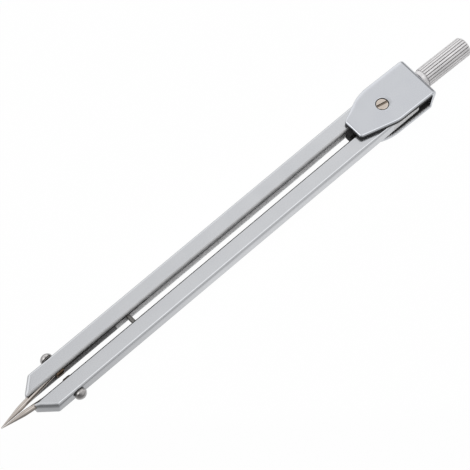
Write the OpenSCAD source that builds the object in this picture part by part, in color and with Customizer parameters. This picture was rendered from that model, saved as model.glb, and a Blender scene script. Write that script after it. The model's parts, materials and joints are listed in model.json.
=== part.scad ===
// Draughting dividers with a friction head. Two legs folded from sheet turn on one
// screw between the cheeks of a folded yoke, and each leg clamps a steel needle.
// The closed dividers lie flat, needle points towards -X and handle towards +X, and
// the left leg lies towards +Y. The origin is under the middle of their length, on
// the plane of the yoke's rear cheek.

/* [Legs] */
// Distance from the pivot to the lower end of a leg
leg_reach = 129.9; // [100:0.1:160]
// Width of a leg's flat face
leg_w = 4.9; // [4.4:0.1:5.5]
// Thickness of a leg from its rear face to its front face
leg_t = 4; // [3.8:0.1:5]
// Sheet that the legs are folded from
leg_sheet = 0.5; // [0.4:0.05:0.55]
// Outside radius of the legs' folded edges
bend_r = 0.8; // [0.6:0.05:1.2]
// Space between the closed legs
leg_gap = 2.8; // [2.6:0.1:4]
// Length of the slanted lower end of a leg
toe_cut = 4.7; // [3.8:0.1:6]
// Width left square at the lower end of a leg
toe_flat = 0.8; // [0.7:0.05:1]
// Distance above the pivot where the right leg's outer wall ends
right_wall_rise = 8.4; // [7:0.1:8.6]
// Height that is left of the right leg's outer wall at its end
right_wall_end = 1.6; // [1.2:0.1:3]
// Distance above the pivot where the left leg's outer wall ends
left_wall_rise = 0; // [-2:0.1:0.5]

/* [Yoke] */
// Sheet that the yoke is folded from
yoke_sheet = 1; // [0.9:0.05:1.3]
// Width of the cheeks where their sides are parallel
cheek_w = 13.8; // [13.4:0.1:15]
// Distance from the pivot up to the top of the crown
crown_rise = 14.4; // [13.6:0.1:18]
// Outside radius of the folds at the crown
crown_r = 1.8; // [1.4:0.1:2.4]
// Radius of the crown's corners seen from the front
crown_corner_r = 0.7; // [0.4:0.1:1.2]
// Distance from the pivot down to the lower edge of the cheeks
cheek_drop = 11.5; // [10.5:0.1:12.5]
// Distance above the pivot where the cheeks start to narrow
shoulder_rise = 0.3; // [0:0.1:2]
// Radius of the shoulders where the cheeks start to narrow
shoulder_r = 14; // [10:0.5:16]
// Angle of the narrowing sides
taper_angle = 25; // [20:1:27]
// Radius of the cheeks' lower corners
foot_r = 0.9; // [0.5:0.1:1.2]
// Angle that the head leans towards the right leg while the legs are closed
head_lean = 1.6; // [0:0.1:2]

/* [Pivot] */
// Diameter of the bush that the legs turn on
bush_d = 3.2; // [2.8:0.1:3.8]
// Diameter of the pivot screw's shank
pivot_shank_d = 2; // [1.6:0.1:2.2]
// Diameter of the pivot screw's head and of the nut's flange
pivot_head_d = 3.6; // [3.2:0.1:4.4]
// Depth of the recess that takes the screw's head, and of the nut's
pivot_recess = 0.6; // [0.45:0.05:0.7]
// Width of the pivot screw's slot
pivot_slot_w = 0.55; // [0.4:0.05:0.8]
// Direction of the pivot screw's slot, turned from the length of the dividers
pivot_slot_turn = -11; // [-90:1:90]
// Diameter of the nut's boss
nut_boss_d = 3; // [2.8:0.1:3.1]

/* [Friction pack] */
// Thickness of the front liner
front_liner_t = 0.7; // [0.5:0.05:1]
// Thickness of the rear liner
rear_liner_t = 0.35; // [0.25:0.05:0.6]
// Distance of the front liner's edge inside the cheek's edge
front_liner_inset = 0.1; // [0.05:0.05:0.35]
// Distance of the rear liner's edge inside the cheek's edge
rear_liner_inset = 0.3; // [0.1:0.05:0.35]
// Diameter of the dished spring washer
spring_d = 8; // [6:0.1:9.6]
// Sheet of the dished spring washer
spring_sheet = 0.2; // [0.15:0.01:0.25]
// Height of the dished spring washer
spring_h = 0.4; // [0.3:0.01:0.6]
// Length of the core that shows below the cheeks
core_show = 1.2; // [0.8:0.1:4]
// Depth of the core's tail behind the legs' faces
core_sink = 0.3; // [0.1:0.05:0.5]

/* [Handle] */
// Diameter of the knurled handle
handle_d = 6; // [5.4:0.1:7]
// Distance from the crown to the handle's end
handle_l = 17.6; // [14:0.1:30]
// Diameter of the smooth collar
collar_d = 5.5; // [4.8:0.1:5.6]
// Length of the smooth collar
collar_l = 1.9; // [1.5:0.1:4]
// Chamfer at both ends of the knurling
handle_chamfer = 0.7; // [0.3:0.05:1]
// Number of knurling grooves
knurl_n = 22; // [12:1:24]
// Width of a knurling groove
knurl_w = 0.2; // [0.1:0.01:0.25]
// Depth of a knurling groove
knurl_depth = 0.18; // [0.1:0.01:0.2]
// Diameter of the tenon that goes through the crown
tenon_d = 2.6; // [2:0.1:3]
// Diameter of the tenon's peened end
peen_d = 3.2; // [3:0.1:3.6]
// Height of the tenon's peened end
peen_h = 0.6; // [0.4:0.05:0.9]
// Thickness of the washer under the peened end
handle_washer_t = 0.5; // [0.3:0.05:0.8]

/* [Needles] */
// Diameter of a needle
needle_d = 1.6; // [1.4:0.05:1.7]
// Length of needle beyond the end of its leg
needle_out = 10.1; // [9:0.1:14]
// Length of the needle's cone
needle_cone = 7.3; // [6.5:0.1:8]
// Diameter of the needle's blunted point
needle_point_d = 0.1; // [0.05:0.01:0.2]
// Distance between the axes of the two points when the dividers are closed
point_gap = 0.2; // [0.2:0.01:0.5]
// Length of needle behind the clamp screw's axis
needle_tail = 5.7; // [4:0.1:8]
// Depth of the needle's axis behind the leg's open side at the clamp
needle_depth = 1.18; // [0.95:0.01:1.25]

/* [Needle clamps] */
// Distance from the leg's lower end up to the clamp screw
clamp_up = 11.7; // [10:0.1:15]
// Length of a clamp block along the leg
block_l = 2.7; // [2.2:0.1:3.4]
// Distance that a clamp block stands out of the leg's open side
block_out = 0.75; // [0.4:0.05:1.1]
// Space left between a clamp block and the leg's outer wall
block_seat = 0.6; // [0.4:0.05:0.7]
// Diameter of a clamp screw's shank
clamp_shank_d = 1.2; // [1:0.1:1.4]
// Diameter of a clamp screw's head
clamp_head_d = 3.6; // [3.4:0.1:4.2]
// Height of a clamp screw's head
clamp_head_h = 1.6; // [1.4:0.1:2.4]
// Radius of the dome on a clamp screw's head
clamp_dome_r = 1.95; // [1.85:0.05:4]
// Width of a clamp screw's slot
clamp_slot_w = 0.6; // [0.4:0.05:0.8]
// Depth of a clamp screw's slot
clamp_slot_depth = 0.8; // [0.4:0.05:1]
// Diameter of the washer under a clamp screw's head
clamp_washer_d = 3.2; // [2.6:0.1:3.4]
// Thickness of the washer under a clamp screw's head
clamp_washer_t = 0.35; // [0.2:0.05:0.5]
// Sheet that the needle holders are folded from
holder_sheet = 0.25; // [0.2:0.01:0.28]
// Length of a holder that lies flat on the leg's outer wall
holder_tail = 2; // [1.5:0.1:6]
// Length of a holder's slanted upper end
holder_slant = 3; // [1:0.1:4]
// Depth of a holder's edges behind the leg's open side
holder_lip = 0.15; // [0.05:0.05:0.25]

/* [Stop post] */
// Distance from the needle holder's upper end up to the stop post
post_rise = 4; // [2:0.1:20]
// Diameter of the stop post
post_d = 1.3; // [1:0.1:1.8]
// Diameter of the foot that seats the post on the leg's wall
post_foot_d = 2.4; // [2:0.1:2.8]
// Height of the post's foot
post_foot_h = 0.8; // [0.5:0.1:1.5]
// Diameter of the rivet tail that holds the post
post_tail_d = 0.9; // [0.6:0.05:1]
// Space left between the post's end and the other leg's wall
post_space = 0.3; // [0.2:0.05:0.8]

/* [Clearances] */
// Gap between flat faces that turn on each other
slip = 0.05; // [0.03:0.01:0.08]
// Radial gap of the legs and of the screw on the bush
pivot_clear = 0.05; // [0.02:0.01:0.08]
// Radial gap of a thread, and of what is seated for good
seat_clear = 0.02; // [0.01:0.01:0.04]
// Radial gap of a needle in its clamp block
guide_clear = 0.03; // [0.02:0.01:0.05]
// Gap round a piece that drops into a channel
drop_clear = 0.05; // [0.03:0.01:0.08]
// Radial gap round screw heads and round shanks that pass a sheet
head_clear = 0.15; // [0.1:0.01:0.2]
// Gap between the head of one leg and the wall of the other
lug_clear = 0.4; // [0.3:0.05:0.5]

/* [Hidden] */
$fn = 64;

// Room that a cutting shape runs past the face it cuts
past = 1;
// Steps of a rounded corner in a flat outline
arc_steps = 8;

// Heights in the stack between the cheeks
spring_z = yoke_sheet;
rear_liner_z = spring_z + spring_h;
leg_z = rear_liner_z + rear_liner_t + slip;
front_liner_z = leg_z + leg_t + slip;
front_cheek_z = front_liner_z + front_liner_t;
yoke_h = front_cheek_z + yoke_sheet;
// Washer under the peened end, as wide as the flat between the crown's folds takes
handle_washer_d = yoke_h - 2 * crown_r - 2 * head_clear;
leg_mid = leg_t / 2;

// Lengths from the pivot, with those below it negative
needle_reach = leg_reach + needle_out;
clamp_u = clamp_up - leg_reach;
handle_end = crown_rise + handle_l;
handle_reach = handle_end * cos(head_lean) + (handle_d / 2 - handle_chamfer) * sin(head_lean);
pivot_x = (needle_reach - handle_reach) / 2;
crown_inside = crown_rise - yoke_sheet;
liner_rise = crown_rise - crown_r;

// Edges of a closed leg and the slope of its lower end
edge_in = leg_gap / 2;
edge_out = edge_in + leg_w;
wall_in = edge_out - leg_sheet;
toe_angle = atan2(leg_w - toe_flat, toe_cut);

// Nested heads of the legs: the right leg's lugs lie outside the left leg's
lug_r = wall_in - lug_clear;
joggle = lug_r + lug_clear;
inner_lug_z = leg_sheet + slip;
core_z = inner_lug_z + leg_sheet + slip;
core_r = lug_r - slip;
// Where a lug's straight side runs into its round end, turned from the side's direction
lug_blend = 10;
// Share of the lug's radius at which the side runs in
lug_tuck = 0.98;
// Width of the flanges that is left at the end of the right leg's wall
flange_end = bend_r + leg_sheet / 2;

// Needle's axis, from its point past the clamp
needle_tilt = atan2(edge_in + needle_depth - point_gap / 2, needle_reach + clamp_u);
needle_bore_r = needle_d / 2 + guide_clear;
needle_l = (needle_reach + clamp_u) / cos(needle_tilt) + needle_tail;

// Needle holder in the leg's channel
holder_z = leg_sheet + drop_clear;
holder_in_z = holder_z + holder_sheet;
block_z = holder_in_z + drop_clear;
holder_wall = wall_in - drop_clear;
holder_edge = edge_in + holder_lip;
block_top = wall_in - block_seat;
clamp_shank_end = edge_in + needle_depth + needle_bore_r + 2 * guide_clear;
clamp_seat = edge_out + clamp_washer_t;
holder_bend = floor_back_u(holder_wall);
holder_end = holder_bend + holder_tail;
post_u = holder_end + post_rise;

// Colours of the finishes
plate = [0.78, 0.79, 0.82];
nickel = [0.76, 0.72, 0.66];
needle_steel = [0.70, 0.66, 0.61];
dark_steel = [0.24, 0.23, 0.23];
black = [0.05, 0.05, 0.06];

// Points of an arc from angle a0 to a1, where 0 points to +Y and 90 to -X
function arc(centre, r, a0, a1) =
  [for (i = [0:arc_steps]) let (a = a0 + (a1 - a0) * i / arc_steps) centre + r * [-sin(a), cos(a)]];

// Half of a cheek's outline: crown corner, shoulder and foot, moved in by inset
function cheek_side(inset, top) =
  let (
    half = cheek_w / 2,
    foot_u = foot_r - cheek_drop,
    line = cos(taper_angle) * (half - shoulder_r) - sin(taper_angle) * shoulder_rise + shoulder_r,
    foot_y = (line - foot_r + sin(taper_angle) * foot_u) / cos(taper_angle)
  )
  concat(
    arc([top - crown_corner_r, half - crown_corner_r], crown_corner_r - inset, -90, 0),
    arc([shoulder_rise, half - shoulder_r], shoulder_r - inset, 0, taper_angle),
    arc([foot_u, foot_y], foot_r - inset, taper_angle, 90)
  );

// Whole outline of a cheek: one side, and the same mirrored and run backwards
function cheek_outline(inset, top) =
  let (side = cheek_side(inset, top), last = len(side) - 1)
  concat(side, [for (i = [0:last]) [side[last - i][0], -side[last - i][1]]]);

// Point at height y on the inside of the slanted lower end
function toe_inner(y) =
  [-leg_reach + leg_sheet / sin(toe_angle) + (y - edge_in - toe_flat) / tan(toe_angle), y];

// Needle holder's floor: its face to the needle and its back, at length u or height y
function floor_y(u) =
  point_gap / 2 + (u + needle_reach) * tan(needle_tilt) + needle_bore_r / cos(needle_tilt);
function floor_back(u) = floor_y(u) + holder_sheet / cos(needle_tilt);
function floor_u(y) = (y - floor_y(0)) / tan(needle_tilt);
function floor_back_u(y) = (y - floor_back(0)) / tan(needle_tilt);

// Length at which the holder's floor clears the inside of the slanted lower end
function holder_start() =
  let (toe_y = edge_in + toe_flat + (leg_reach - leg_sheet / sin(toe_angle)) * tan(toe_angle))
  (floor_back(0) - toe_y) / (tan(toe_angle) - tan(needle_tilt)) + lug_clear;

module at_pivot(z) {
  translate([pivot_x, 0, z]) children();
}

// Puts a piece of the head at the pivot, leaning as the head does
module at_head(z) {
  at_pivot(z) rotate([0, 0, -head_lean]) children();
}

module right_side() {
  mirror([0, 1, 0]) children();
}

// Puts a turned piece on the left needle's axis, point first, at the height of a leg's rear face
module along_needle() {
  translate([-needle_reach, point_gap / 2, leg_mid])
    rotate([0, 0, needle_tilt])
      rotate([0, 90, 0]) children();
}

// Puts a turned piece on the left clamp screw's axis, outwards from height y
module along_clamp(y) {
  translate([clamp_u, y, leg_mid]) rotate([-90, 0, 0]) children();
}

// Section with its two far corners rounded
module rounded_section(w, h, r) {
  square([w - r, h]);
  translate([0, r]) square([w, h - 2 * r]);
  translate([w - r, r]) circle(r);
  translate([w - r, h - r]) circle(r);
}

// Bar along +X with its two edges at y = w rounded as the sheet is folded
module folded_bar(l, w) {
  rotate([90, 0, 90]) linear_extrude(l) rounded_section(w, leg_t, bend_r);
}

// Outer form of a left leg, from its slanted lower end up to length top
module leg_form(top) {
  intersection() {
    translate([-leg_reach, edge_in, 0]) cube([leg_reach + top, leg_w + past, leg_t]);
    translate([-leg_reach - past, 0, 0]) folded_bar(leg_reach + top + 2 * past, edge_out);
    translate([-leg_reach, edge_in + toe_flat, 0])
      rotate([0, 0, toe_angle])
        translate([-leg_reach, -2 * leg_reach, 0]) folded_bar(3 * leg_reach, 2 * leg_reach);
  }
}

// Space inside the folded channel of a left leg
module leg_channel(top) {
  translate([0, 0, leg_sheet])
    linear_extrude(leg_t - 2 * leg_sheet)
      polygon([toe_inner(edge_in - past), [top, edge_in - past], [top, wall_in], toe_inner(wall_in)]);
}

// Holes in a left leg: the needle's way out and the clamp screw's hole
module leg_holes() {
  along_needle() cylinder(r = needle_d / 2 + head_clear, h = needle_out + toe_cut);
  along_clamp(wall_in - past) cylinder(d = clamp_shank_d + 2 * head_clear, h = leg_sheet + 2 * past);
}

// Flat of an inner lug that runs from the left leg's step round the bush
module lug_plan(back) {
  circle(lug_r);
  polygon([
    [-back, edge_in], [0, edge_in],
    lug_tuck * lug_r * [-sin(lug_blend), cos(lug_blend)], [-back, wall_in]
  ]);
}

// Plan of the right leg, whose flanges slant off towards the end of its outer wall
module right_plan() {
  polygon([
    [-leg_reach - past, 0], [0, 0], [0, edge_in],
    [right_wall_rise, edge_out - flange_end], [right_wall_rise, edge_out + past],
    [-leg_reach - past, edge_out + past]
  ]);
}

// What is cut off the right leg's front, so that its outer wall tapers past the lugs
module wall_taper() {
  translate([0, edge_out + past, 0])
    rotate([90, 0, 0])
      linear_extrude(leg_w + 2 * past)
        polygon([
          [-edge_in, leg_t], [right_wall_rise, right_wall_end], [right_wall_rise + past, right_wall_end],
          [right_wall_rise + past, leg_t + past], [-edge_in, leg_t + past]
        ]);
}

// Hole for the bush through a leg's lugs
module bush_hole() {
  translate([0, 0, -past]) cylinder(d = bush_d + 2 * pivot_clear, h = leg_t + 2 * past);
}

module head_yoke() {
  color(plate) at_head(0) difference() {
    intersection() {
      linear_extrude(yoke_h) polygon(cheek_outline(0, crown_rise));
      rotate([90, 0, 0])
        linear_extrude(cheek_w + 2 * past, center = true)
          difference() {
            translate([-cheek_drop - past, 0])
              rounded_section(cheek_drop + past + crown_rise, yoke_h, crown_r);
            translate([-cheek_drop - 2 * past, yoke_sheet])
              rounded_section(cheek_drop + 2 * past + crown_inside, yoke_h - 2 * yoke_sheet,
                crown_r - yoke_sheet);
          }
    }
    translate([0, 0, yoke_h - pivot_recess]) cylinder(d = pivot_head_d + 2 * head_clear, h = past);
    translate([0, 0, front_cheek_z - past]) cylinder(d = pivot_shank_d + 2 * head_clear, h = 3 * past);
    translate([0, 0, pivot_recess - past]) cylinder(d = pivot_head_d + 2 * head_clear, h = past);
    translate([0, 0, -past]) cylinder(d = nut_boss_d + 2 * seat_clear, h = yoke_sheet + 2 * past);
    translate([crown_inside - past, 0, yoke_h / 2])
      rotate([0, 90, 0]) cylinder(d = tenon_d + 2 * seat_clear, h = yoke_sheet + 2 * past);
  }
}

module handle_grip() {
  washer_u = crown_inside - handle_washer_t;
  knurl_u = crown_rise + collar_l;
  edge = (handle_d - collar_d) / 2;
  peen_edge = peen_h / 2;
  color(plate) at_head(yoke_h / 2) rotate([0, 90, 0]) difference() {
    rotate_extrude() polygon([
      [0, washer_u - peen_h],
      [peen_d / 2 - peen_edge, washer_u - peen_h],
      [peen_d / 2, washer_u - peen_edge],
      [peen_d / 2, washer_u],
      [tenon_d / 2, washer_u],
      [tenon_d / 2, crown_rise],
      [collar_d / 2, crown_rise],
      [collar_d / 2, knurl_u],
      [handle_d / 2, knurl_u + edge],
      [handle_d / 2, handle_end - handle_chamfer],
      [handle_d / 2 - handle_chamfer, handle_end],
      [0, handle_end]
    ]);
    for (i = [0:knurl_n - 1])
      rotate([0, 0, 360 * i / knurl_n])
        translate([handle_d / 2, 0, knurl_u])
          linear_extrude(handle_l)
            polygon([[-knurl_depth, 0], [knurl_depth, knurl_w], [knurl_depth, -knurl_w]]);
  }
}

module handle_washer() {
  color(nickel) at_head(yoke_h / 2)
    translate([crown_inside - handle_washer_t, 0, 0])
      rotate([0, 90, 0])
        linear_extrude(handle_washer_t) difference() {
          circle(d = handle_washer_d);
          circle(d = tenon_d + 2 * seat_clear);
        }
}

module pivot_screw() {
  color(nickel) at_head(0) difference() {
    union() {
      translate([0, 0, yoke_h - pivot_recess + slip]) cylinder(d = pivot_head_d, h = pivot_recess - slip);
      translate([0, 0, pivot_recess / 2]) cylinder(d = pivot_shank_d, h = yoke_h - pivot_recess);
    }
    rotate([0, 0, pivot_slot_turn])
      translate([-pivot_head_d, -pivot_slot_w / 2, yoke_h - pivot_recess / 2])
        cube([2 * pivot_head_d, pivot_slot_w, past]);
  }
}

module pivot_nut() {
  color(nickel) at_head(0) difference() {
    union() {
      translate([0, 0, slip]) cylinder(d = pivot_head_d, h = pivot_recess - slip);
      translate([0, 0, slip]) cylinder(d = nut_boss_d, h = yoke_sheet - slip);
    }
    translate([0, 0, -past]) cylinder(d = pivot_shank_d + 2 * seat_clear, h = yoke_sheet + 2 * past);
    translate([-pivot_head_d, -pivot_slot_w / 2, pivot_recess / 2 - past])
      cube([2 * pivot_head_d, pivot_slot_w, past]);
  }
}

module pivot_bush() {
  color(nickel) at_head(yoke_sheet)
    linear_extrude(front_cheek_z - yoke_sheet) difference() {
      circle(d = bush_d);
      circle(d = pivot_shank_d + 2 * pivot_clear);
    }
}

module spring_washer() {
  hole_r = bush_d / 2 + drop_clear;
  color(dark_steel) at_head(spring_z)
    rotate_extrude() polygon([
      [hole_r, spring_h - spring_sheet],
      [spring_d / 2, 0],
      [spring_d / 2, spring_sheet],
      [hole_r, spring_h]
    ]);
}

module liner(thickness, inset) {
  linear_extrude(thickness) difference() {
    polygon(cheek_outline(inset, liner_rise));
    circle(d = bush_d + 2 * seat_clear);
  }
}

module front_friction_liner() {
  color(black) at_head(front_liner_z) liner(front_liner_t, front_liner_inset);
}

module rear_friction_liner() {
  color(black) at_head(rear_liner_z) liner(rear_liner_t, rear_liner_inset);
}

module hinge_core() {
  tail_start = lug_r + lug_clear;
  tail_end = cheek_drop + core_show;
  tail_half = edge_in - tail_end * sin(head_lean) - 2 * drop_clear;
  color(black) at_head(leg_z) {
    translate([0, 0, core_z])
      linear_extrude(leg_t - 2 * core_z) difference() {
        union() {
          circle(core_r);
          translate([-tail_start - past, -tail_half]) square([tail_start + past, 2 * tail_half]);
        }
        circle(d = bush_d + 2 * seat_clear);
      }
    translate([-tail_end, -tail_half, core_sink])
      cube([tail_end - tail_start, 2 * tail_half, leg_t - 2 * core_sink]);
  }
}

// The left leg's flanges step inwards below its lugs, and its outer wall runs on
module left_leg() {
  color(plate) at_pivot(leg_z) difference() {
    union() {
      difference() {
        leg_form(left_wall_rise);
        translate([-joggle, 0, -past]) cube([joggle + left_wall_rise + past, wall_in, leg_t + 2 * past]);
      }
      for (z = [inner_lug_z, leg_t - inner_lug_z - leg_sheet])
        translate([0, 0, z]) linear_extrude(leg_sheet) lug_plan(joggle + leg_sheet);
    }
    leg_channel(-joggle - leg_sheet);
    translate([-joggle - 2 * leg_sheet, edge_in - past, core_z - slip])
      cube([3 * leg_sheet, wall_in - edge_in + past, leg_t - 2 * (core_z - slip)]);
    bush_hole();
    leg_holes();
    translate([post_u, edge_out + past, leg_mid])
      rotate([90, 0, 0]) cylinder(d = post_tail_d + 2 * seat_clear, h = leg_sheet + 2 * past);
  }
}

// The right leg's flanges run straight into its lugs, beside its tapering outer wall
module right_leg() {
  color(plate) at_pivot(leg_z) right_side() difference() {
    union() {
      intersection() {
        difference() {
          leg_form(right_wall_rise);
          leg_channel(right_wall_rise + past);
        }
        difference() {
          linear_extrude(leg_t) right_plan();
          wall_taper();
        }
      }
      for (z = [0, leg_t - leg_sheet])
        translate([0, 0, z]) cylinder(r = lug_r, h = leg_sheet);
    }
    bush_hole();
    leg_holes();
  }
}

module needle_holder() {
  start = holder_start();
  inside = holder_wall - holder_sheet;
  difference() {
    translate([0, 0, holder_z])
      linear_extrude(leg_t - 2 * holder_z)
        polygon([
          [start, holder_edge], [holder_end - holder_slant, holder_edge],
          [holder_end, holder_wall], [holder_bend, holder_wall], [start, floor_back(start)]
        ]);
    translate([0, 0, holder_in_z])
      linear_extrude(leg_t - 2 * holder_in_z)
        polygon([
          [start - past, holder_edge - past], [holder_end + past, holder_edge - past],
          [holder_end + past, inside], [floor_u(inside), inside], [start - past, floor_y(start - past)]
        ]);
    translate([clamp_u - block_l / 2 - drop_clear, edge_in, holder_in_z])
      cube([block_l + 2 * drop_clear, leg_w, leg_t - 2 * holder_in_z]);
  }
}

module left_needle_holder() {
  color(dark_steel) at_pivot(leg_z) needle_holder();
}

module right_needle_holder() {
  color(dark_steel) at_pivot(leg_z) right_side() needle_holder();
}

module clamp_block() {
  block_foot = edge_in - block_out;
  difference() {
    translate([clamp_u - block_l / 2, block_foot, block_z])
      cube([block_l, block_top - block_foot, leg_t - 2 * block_z]);
    along_needle() cylinder(r = needle_bore_r, h = needle_l);
    along_clamp(edge_in + needle_depth) cylinder(d = clamp_shank_d + 2 * seat_clear, h = leg_w);
  }
}

module left_clamp_block() {
  color(dark_steel) at_pivot(leg_z) clamp_block();
}

module right_clamp_block() {
  color(dark_steel) at_pivot(leg_z) right_side() clamp_block();
}

module clamp_washer() {
  along_clamp(edge_out)
    linear_extrude(clamp_washer_t) difference() {
      circle(d = clamp_washer_d);
      circle(d = clamp_shank_d + 2 * head_clear);
    }
}

module left_clamp_washer() {
  color(dark_steel) at_pivot(leg_z) clamp_washer();
}

module right_clamp_washer() {
  color(dark_steel) at_pivot(leg_z) right_side() clamp_washer();
}

module clamp_screw() {
  head_y = clamp_seat + slip;
  difference() {
    union() {
      along_clamp(clamp_shank_end) cylinder(d = clamp_shank_d, h = head_y + slip - clamp_shank_end);
      along_clamp(head_y) intersection() {
        cylinder(d = clamp_head_d, h = clamp_head_h);
        translate([0, 0, clamp_head_h - clamp_dome_r]) sphere(clamp_dome_r);
      }
    }
    along_clamp(head_y + clamp_head_h - clamp_slot_depth)
      translate([-clamp_head_d, -clamp_slot_w / 2, 0])
        cube([2 * clamp_head_d, clamp_slot_w, clamp_head_h]);
  }
}

module left_clamp_screw() {
  color(nickel) at_pivot(leg_z) clamp_screw();
}

module right_clamp_screw() {
  color(nickel) at_pivot(leg_z) right_side() clamp_screw();
}

module needle() {
  tail_edge = needle_d / 8;
  along_needle() rotate_extrude() polygon([
    [0, 0],
    [needle_point_d / 2, 0],
    [needle_d / 2, needle_cone],
    [needle_d / 2, needle_l - tail_edge],
    [needle_d / 2 - tail_edge, needle_l],
    [0, needle_l]
  ]);
}

module left_needle() {
  color(needle_steel) at_pivot(leg_z) needle();
}

module right_needle() {
  color(needle_steel) at_pivot(leg_z) right_side() needle();
}

module stop_post() {
  foot_top = leg_sheet + post_foot_h;
  color(dark_steel) at_pivot(leg_z)
    translate([post_u, edge_out, leg_mid])
      rotate([90, 0, 0]) rotate_extrude() polygon([
        [0, 0],
        [post_tail_d / 2, 0],
        [post_tail_d / 2, leg_sheet],
        [post_foot_d / 2, leg_sheet],
        [post_foot_d / 2, foot_top],
        [post_d / 2, foot_top],
        [post_d / 2, edge_out + wall_in - post_space],
        [0, edge_out + wall_in - post_space]
      ]);
}

head_yoke();
handle_grip();
handle_washer();
pivot_screw();
pivot_nut();
pivot_bush();
spring_washer();
front_friction_liner();
rear_friction_liner();
hinge_core();
left_leg();
right_leg();
left_needle_holder();
right_needle_holder();
left_clamp_block();
right_clamp_block();
left_clamp_washer();
right_clamp_washer();
left_clamp_screw();
right_clamp_screw();
left_needle();
right_needle();
stop_post();
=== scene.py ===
"""Draughting dividers with a friction head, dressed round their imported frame.

Every sub-assembly is a class with its sizes in millimetres. Its own axes start at the
pivot: u runs along the dividers towards the handle, v towards the left leg and z up
from the plane that the dividers lie on. A Seat carries points from there into metres.
"""

import json
import logging
import math
from dataclasses import dataclass
from enum import Enum, IntEnum

import bmesh
import bpy
import numpy as np
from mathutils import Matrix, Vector


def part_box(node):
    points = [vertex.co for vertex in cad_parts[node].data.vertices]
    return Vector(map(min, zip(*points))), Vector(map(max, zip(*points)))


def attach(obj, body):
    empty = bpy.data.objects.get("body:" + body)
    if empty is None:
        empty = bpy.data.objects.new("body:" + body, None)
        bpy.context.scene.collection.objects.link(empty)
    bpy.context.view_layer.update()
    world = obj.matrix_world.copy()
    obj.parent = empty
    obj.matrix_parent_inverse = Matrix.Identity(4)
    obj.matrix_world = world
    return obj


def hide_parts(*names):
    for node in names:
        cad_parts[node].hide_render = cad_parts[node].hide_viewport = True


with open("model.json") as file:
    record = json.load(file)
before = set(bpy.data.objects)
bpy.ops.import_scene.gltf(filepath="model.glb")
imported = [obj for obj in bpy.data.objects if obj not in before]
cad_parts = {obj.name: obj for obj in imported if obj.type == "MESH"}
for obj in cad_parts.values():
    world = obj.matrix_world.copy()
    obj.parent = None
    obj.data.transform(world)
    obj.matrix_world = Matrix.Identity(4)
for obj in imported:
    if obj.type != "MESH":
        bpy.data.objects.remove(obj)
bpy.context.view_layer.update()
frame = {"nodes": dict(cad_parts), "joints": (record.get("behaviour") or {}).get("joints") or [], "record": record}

LOG = logging.getLogger("dividers")
MM = 0.001
QUARTER = math.pi / 2
WHITE = (1.0, 1.0, 1.0, 1.0)
# Points nearer than WELD, in metres, are welded, and edges that bend by more than SHARP stay sharp.
WELD = 2e-8
SHARP = math.radians(35.0)
# Numbers of points on a rim, a plate's rim, a short end, a fold, a disc and a stretch of line.
RIM_POINTS = 7
PLATE_RIM_POINTS = 2
END_POINTS = 5
FOLD_POINTS = 10
DISC_POINTS = 96
LINE_POINTS = 5
# Section of a channel: points on a free edge's tip, on its curl and on half the wall, the angle where the
# tip starts, the share of the sheet that rounds a plain edge, the lip's width and a fold's least radius.
TIP_POINTS = 3
CURL_POINTS = 7
WALL_POINTS = 3
TIP_START = math.radians(-80.0)
PLAIN_TIP = 0.04
LIP_WIDTH = 0.95
LEAST_RADIUS = 0.01


class Side(Enum):
    """The two legs, with the sign of their own v axis."""

    LEFT = 1
    RIGHT = -1

    @property
    def word(self) -> str:
        """Name of the side as the frame's nodes and bodies spell it."""
        return self.name.lower()

    def names(self, *words: str) -> tuple[str, ...]:
        """Names of this side's piece, body and node."""
        return tuple(f"{self.word}_{word}" for word in words)

    def pick(self, pair: tuple) -> object:
        """Takes this side's value of a (left, right) pair."""
        return pair[self is Side.RIGHT]


class Lining(IntEnum):
    """Material indices of faces: a piece's own finish, then those that Finisher.line adds, in order, which are
    painted light and painted shade.
    """

    SKIN = 0
    INSIDE = 1
    EDGE = 2
    LIP = 3
    DEEP = 4


@dataclass(frozen=True)
class Seat:
    """Place of a sub-assembly's own axes in the row frame.

    Attributes:
        x: distance of the pivot along the row frame's X, in millimetres.
        turn: angle of the u axis about the pivot, in radians.
        side: -1 where v is mirrored.
    """

    x: float
    turn: float = 0.0
    side: int = 1

    def row(self, points: np.ndarray) -> np.ndarray:
        """Carries points into the row frame: mirror v, turn about the pivot, move along X.

        Args:
            points: array of (u, v, z) in millimetres.

        Returns:
            Array of the same shape in metres.
        """
        u, v, z = np.moveaxis(np.asarray(points, float), -1, 0)
        v = v * self.side
        cos, sin = math.cos(self.turn), math.sin(self.turn)
        return MM * np.stack([self.x + cos * u - sin * v, sin * u + cos * v, z], axis=-1)


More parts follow.
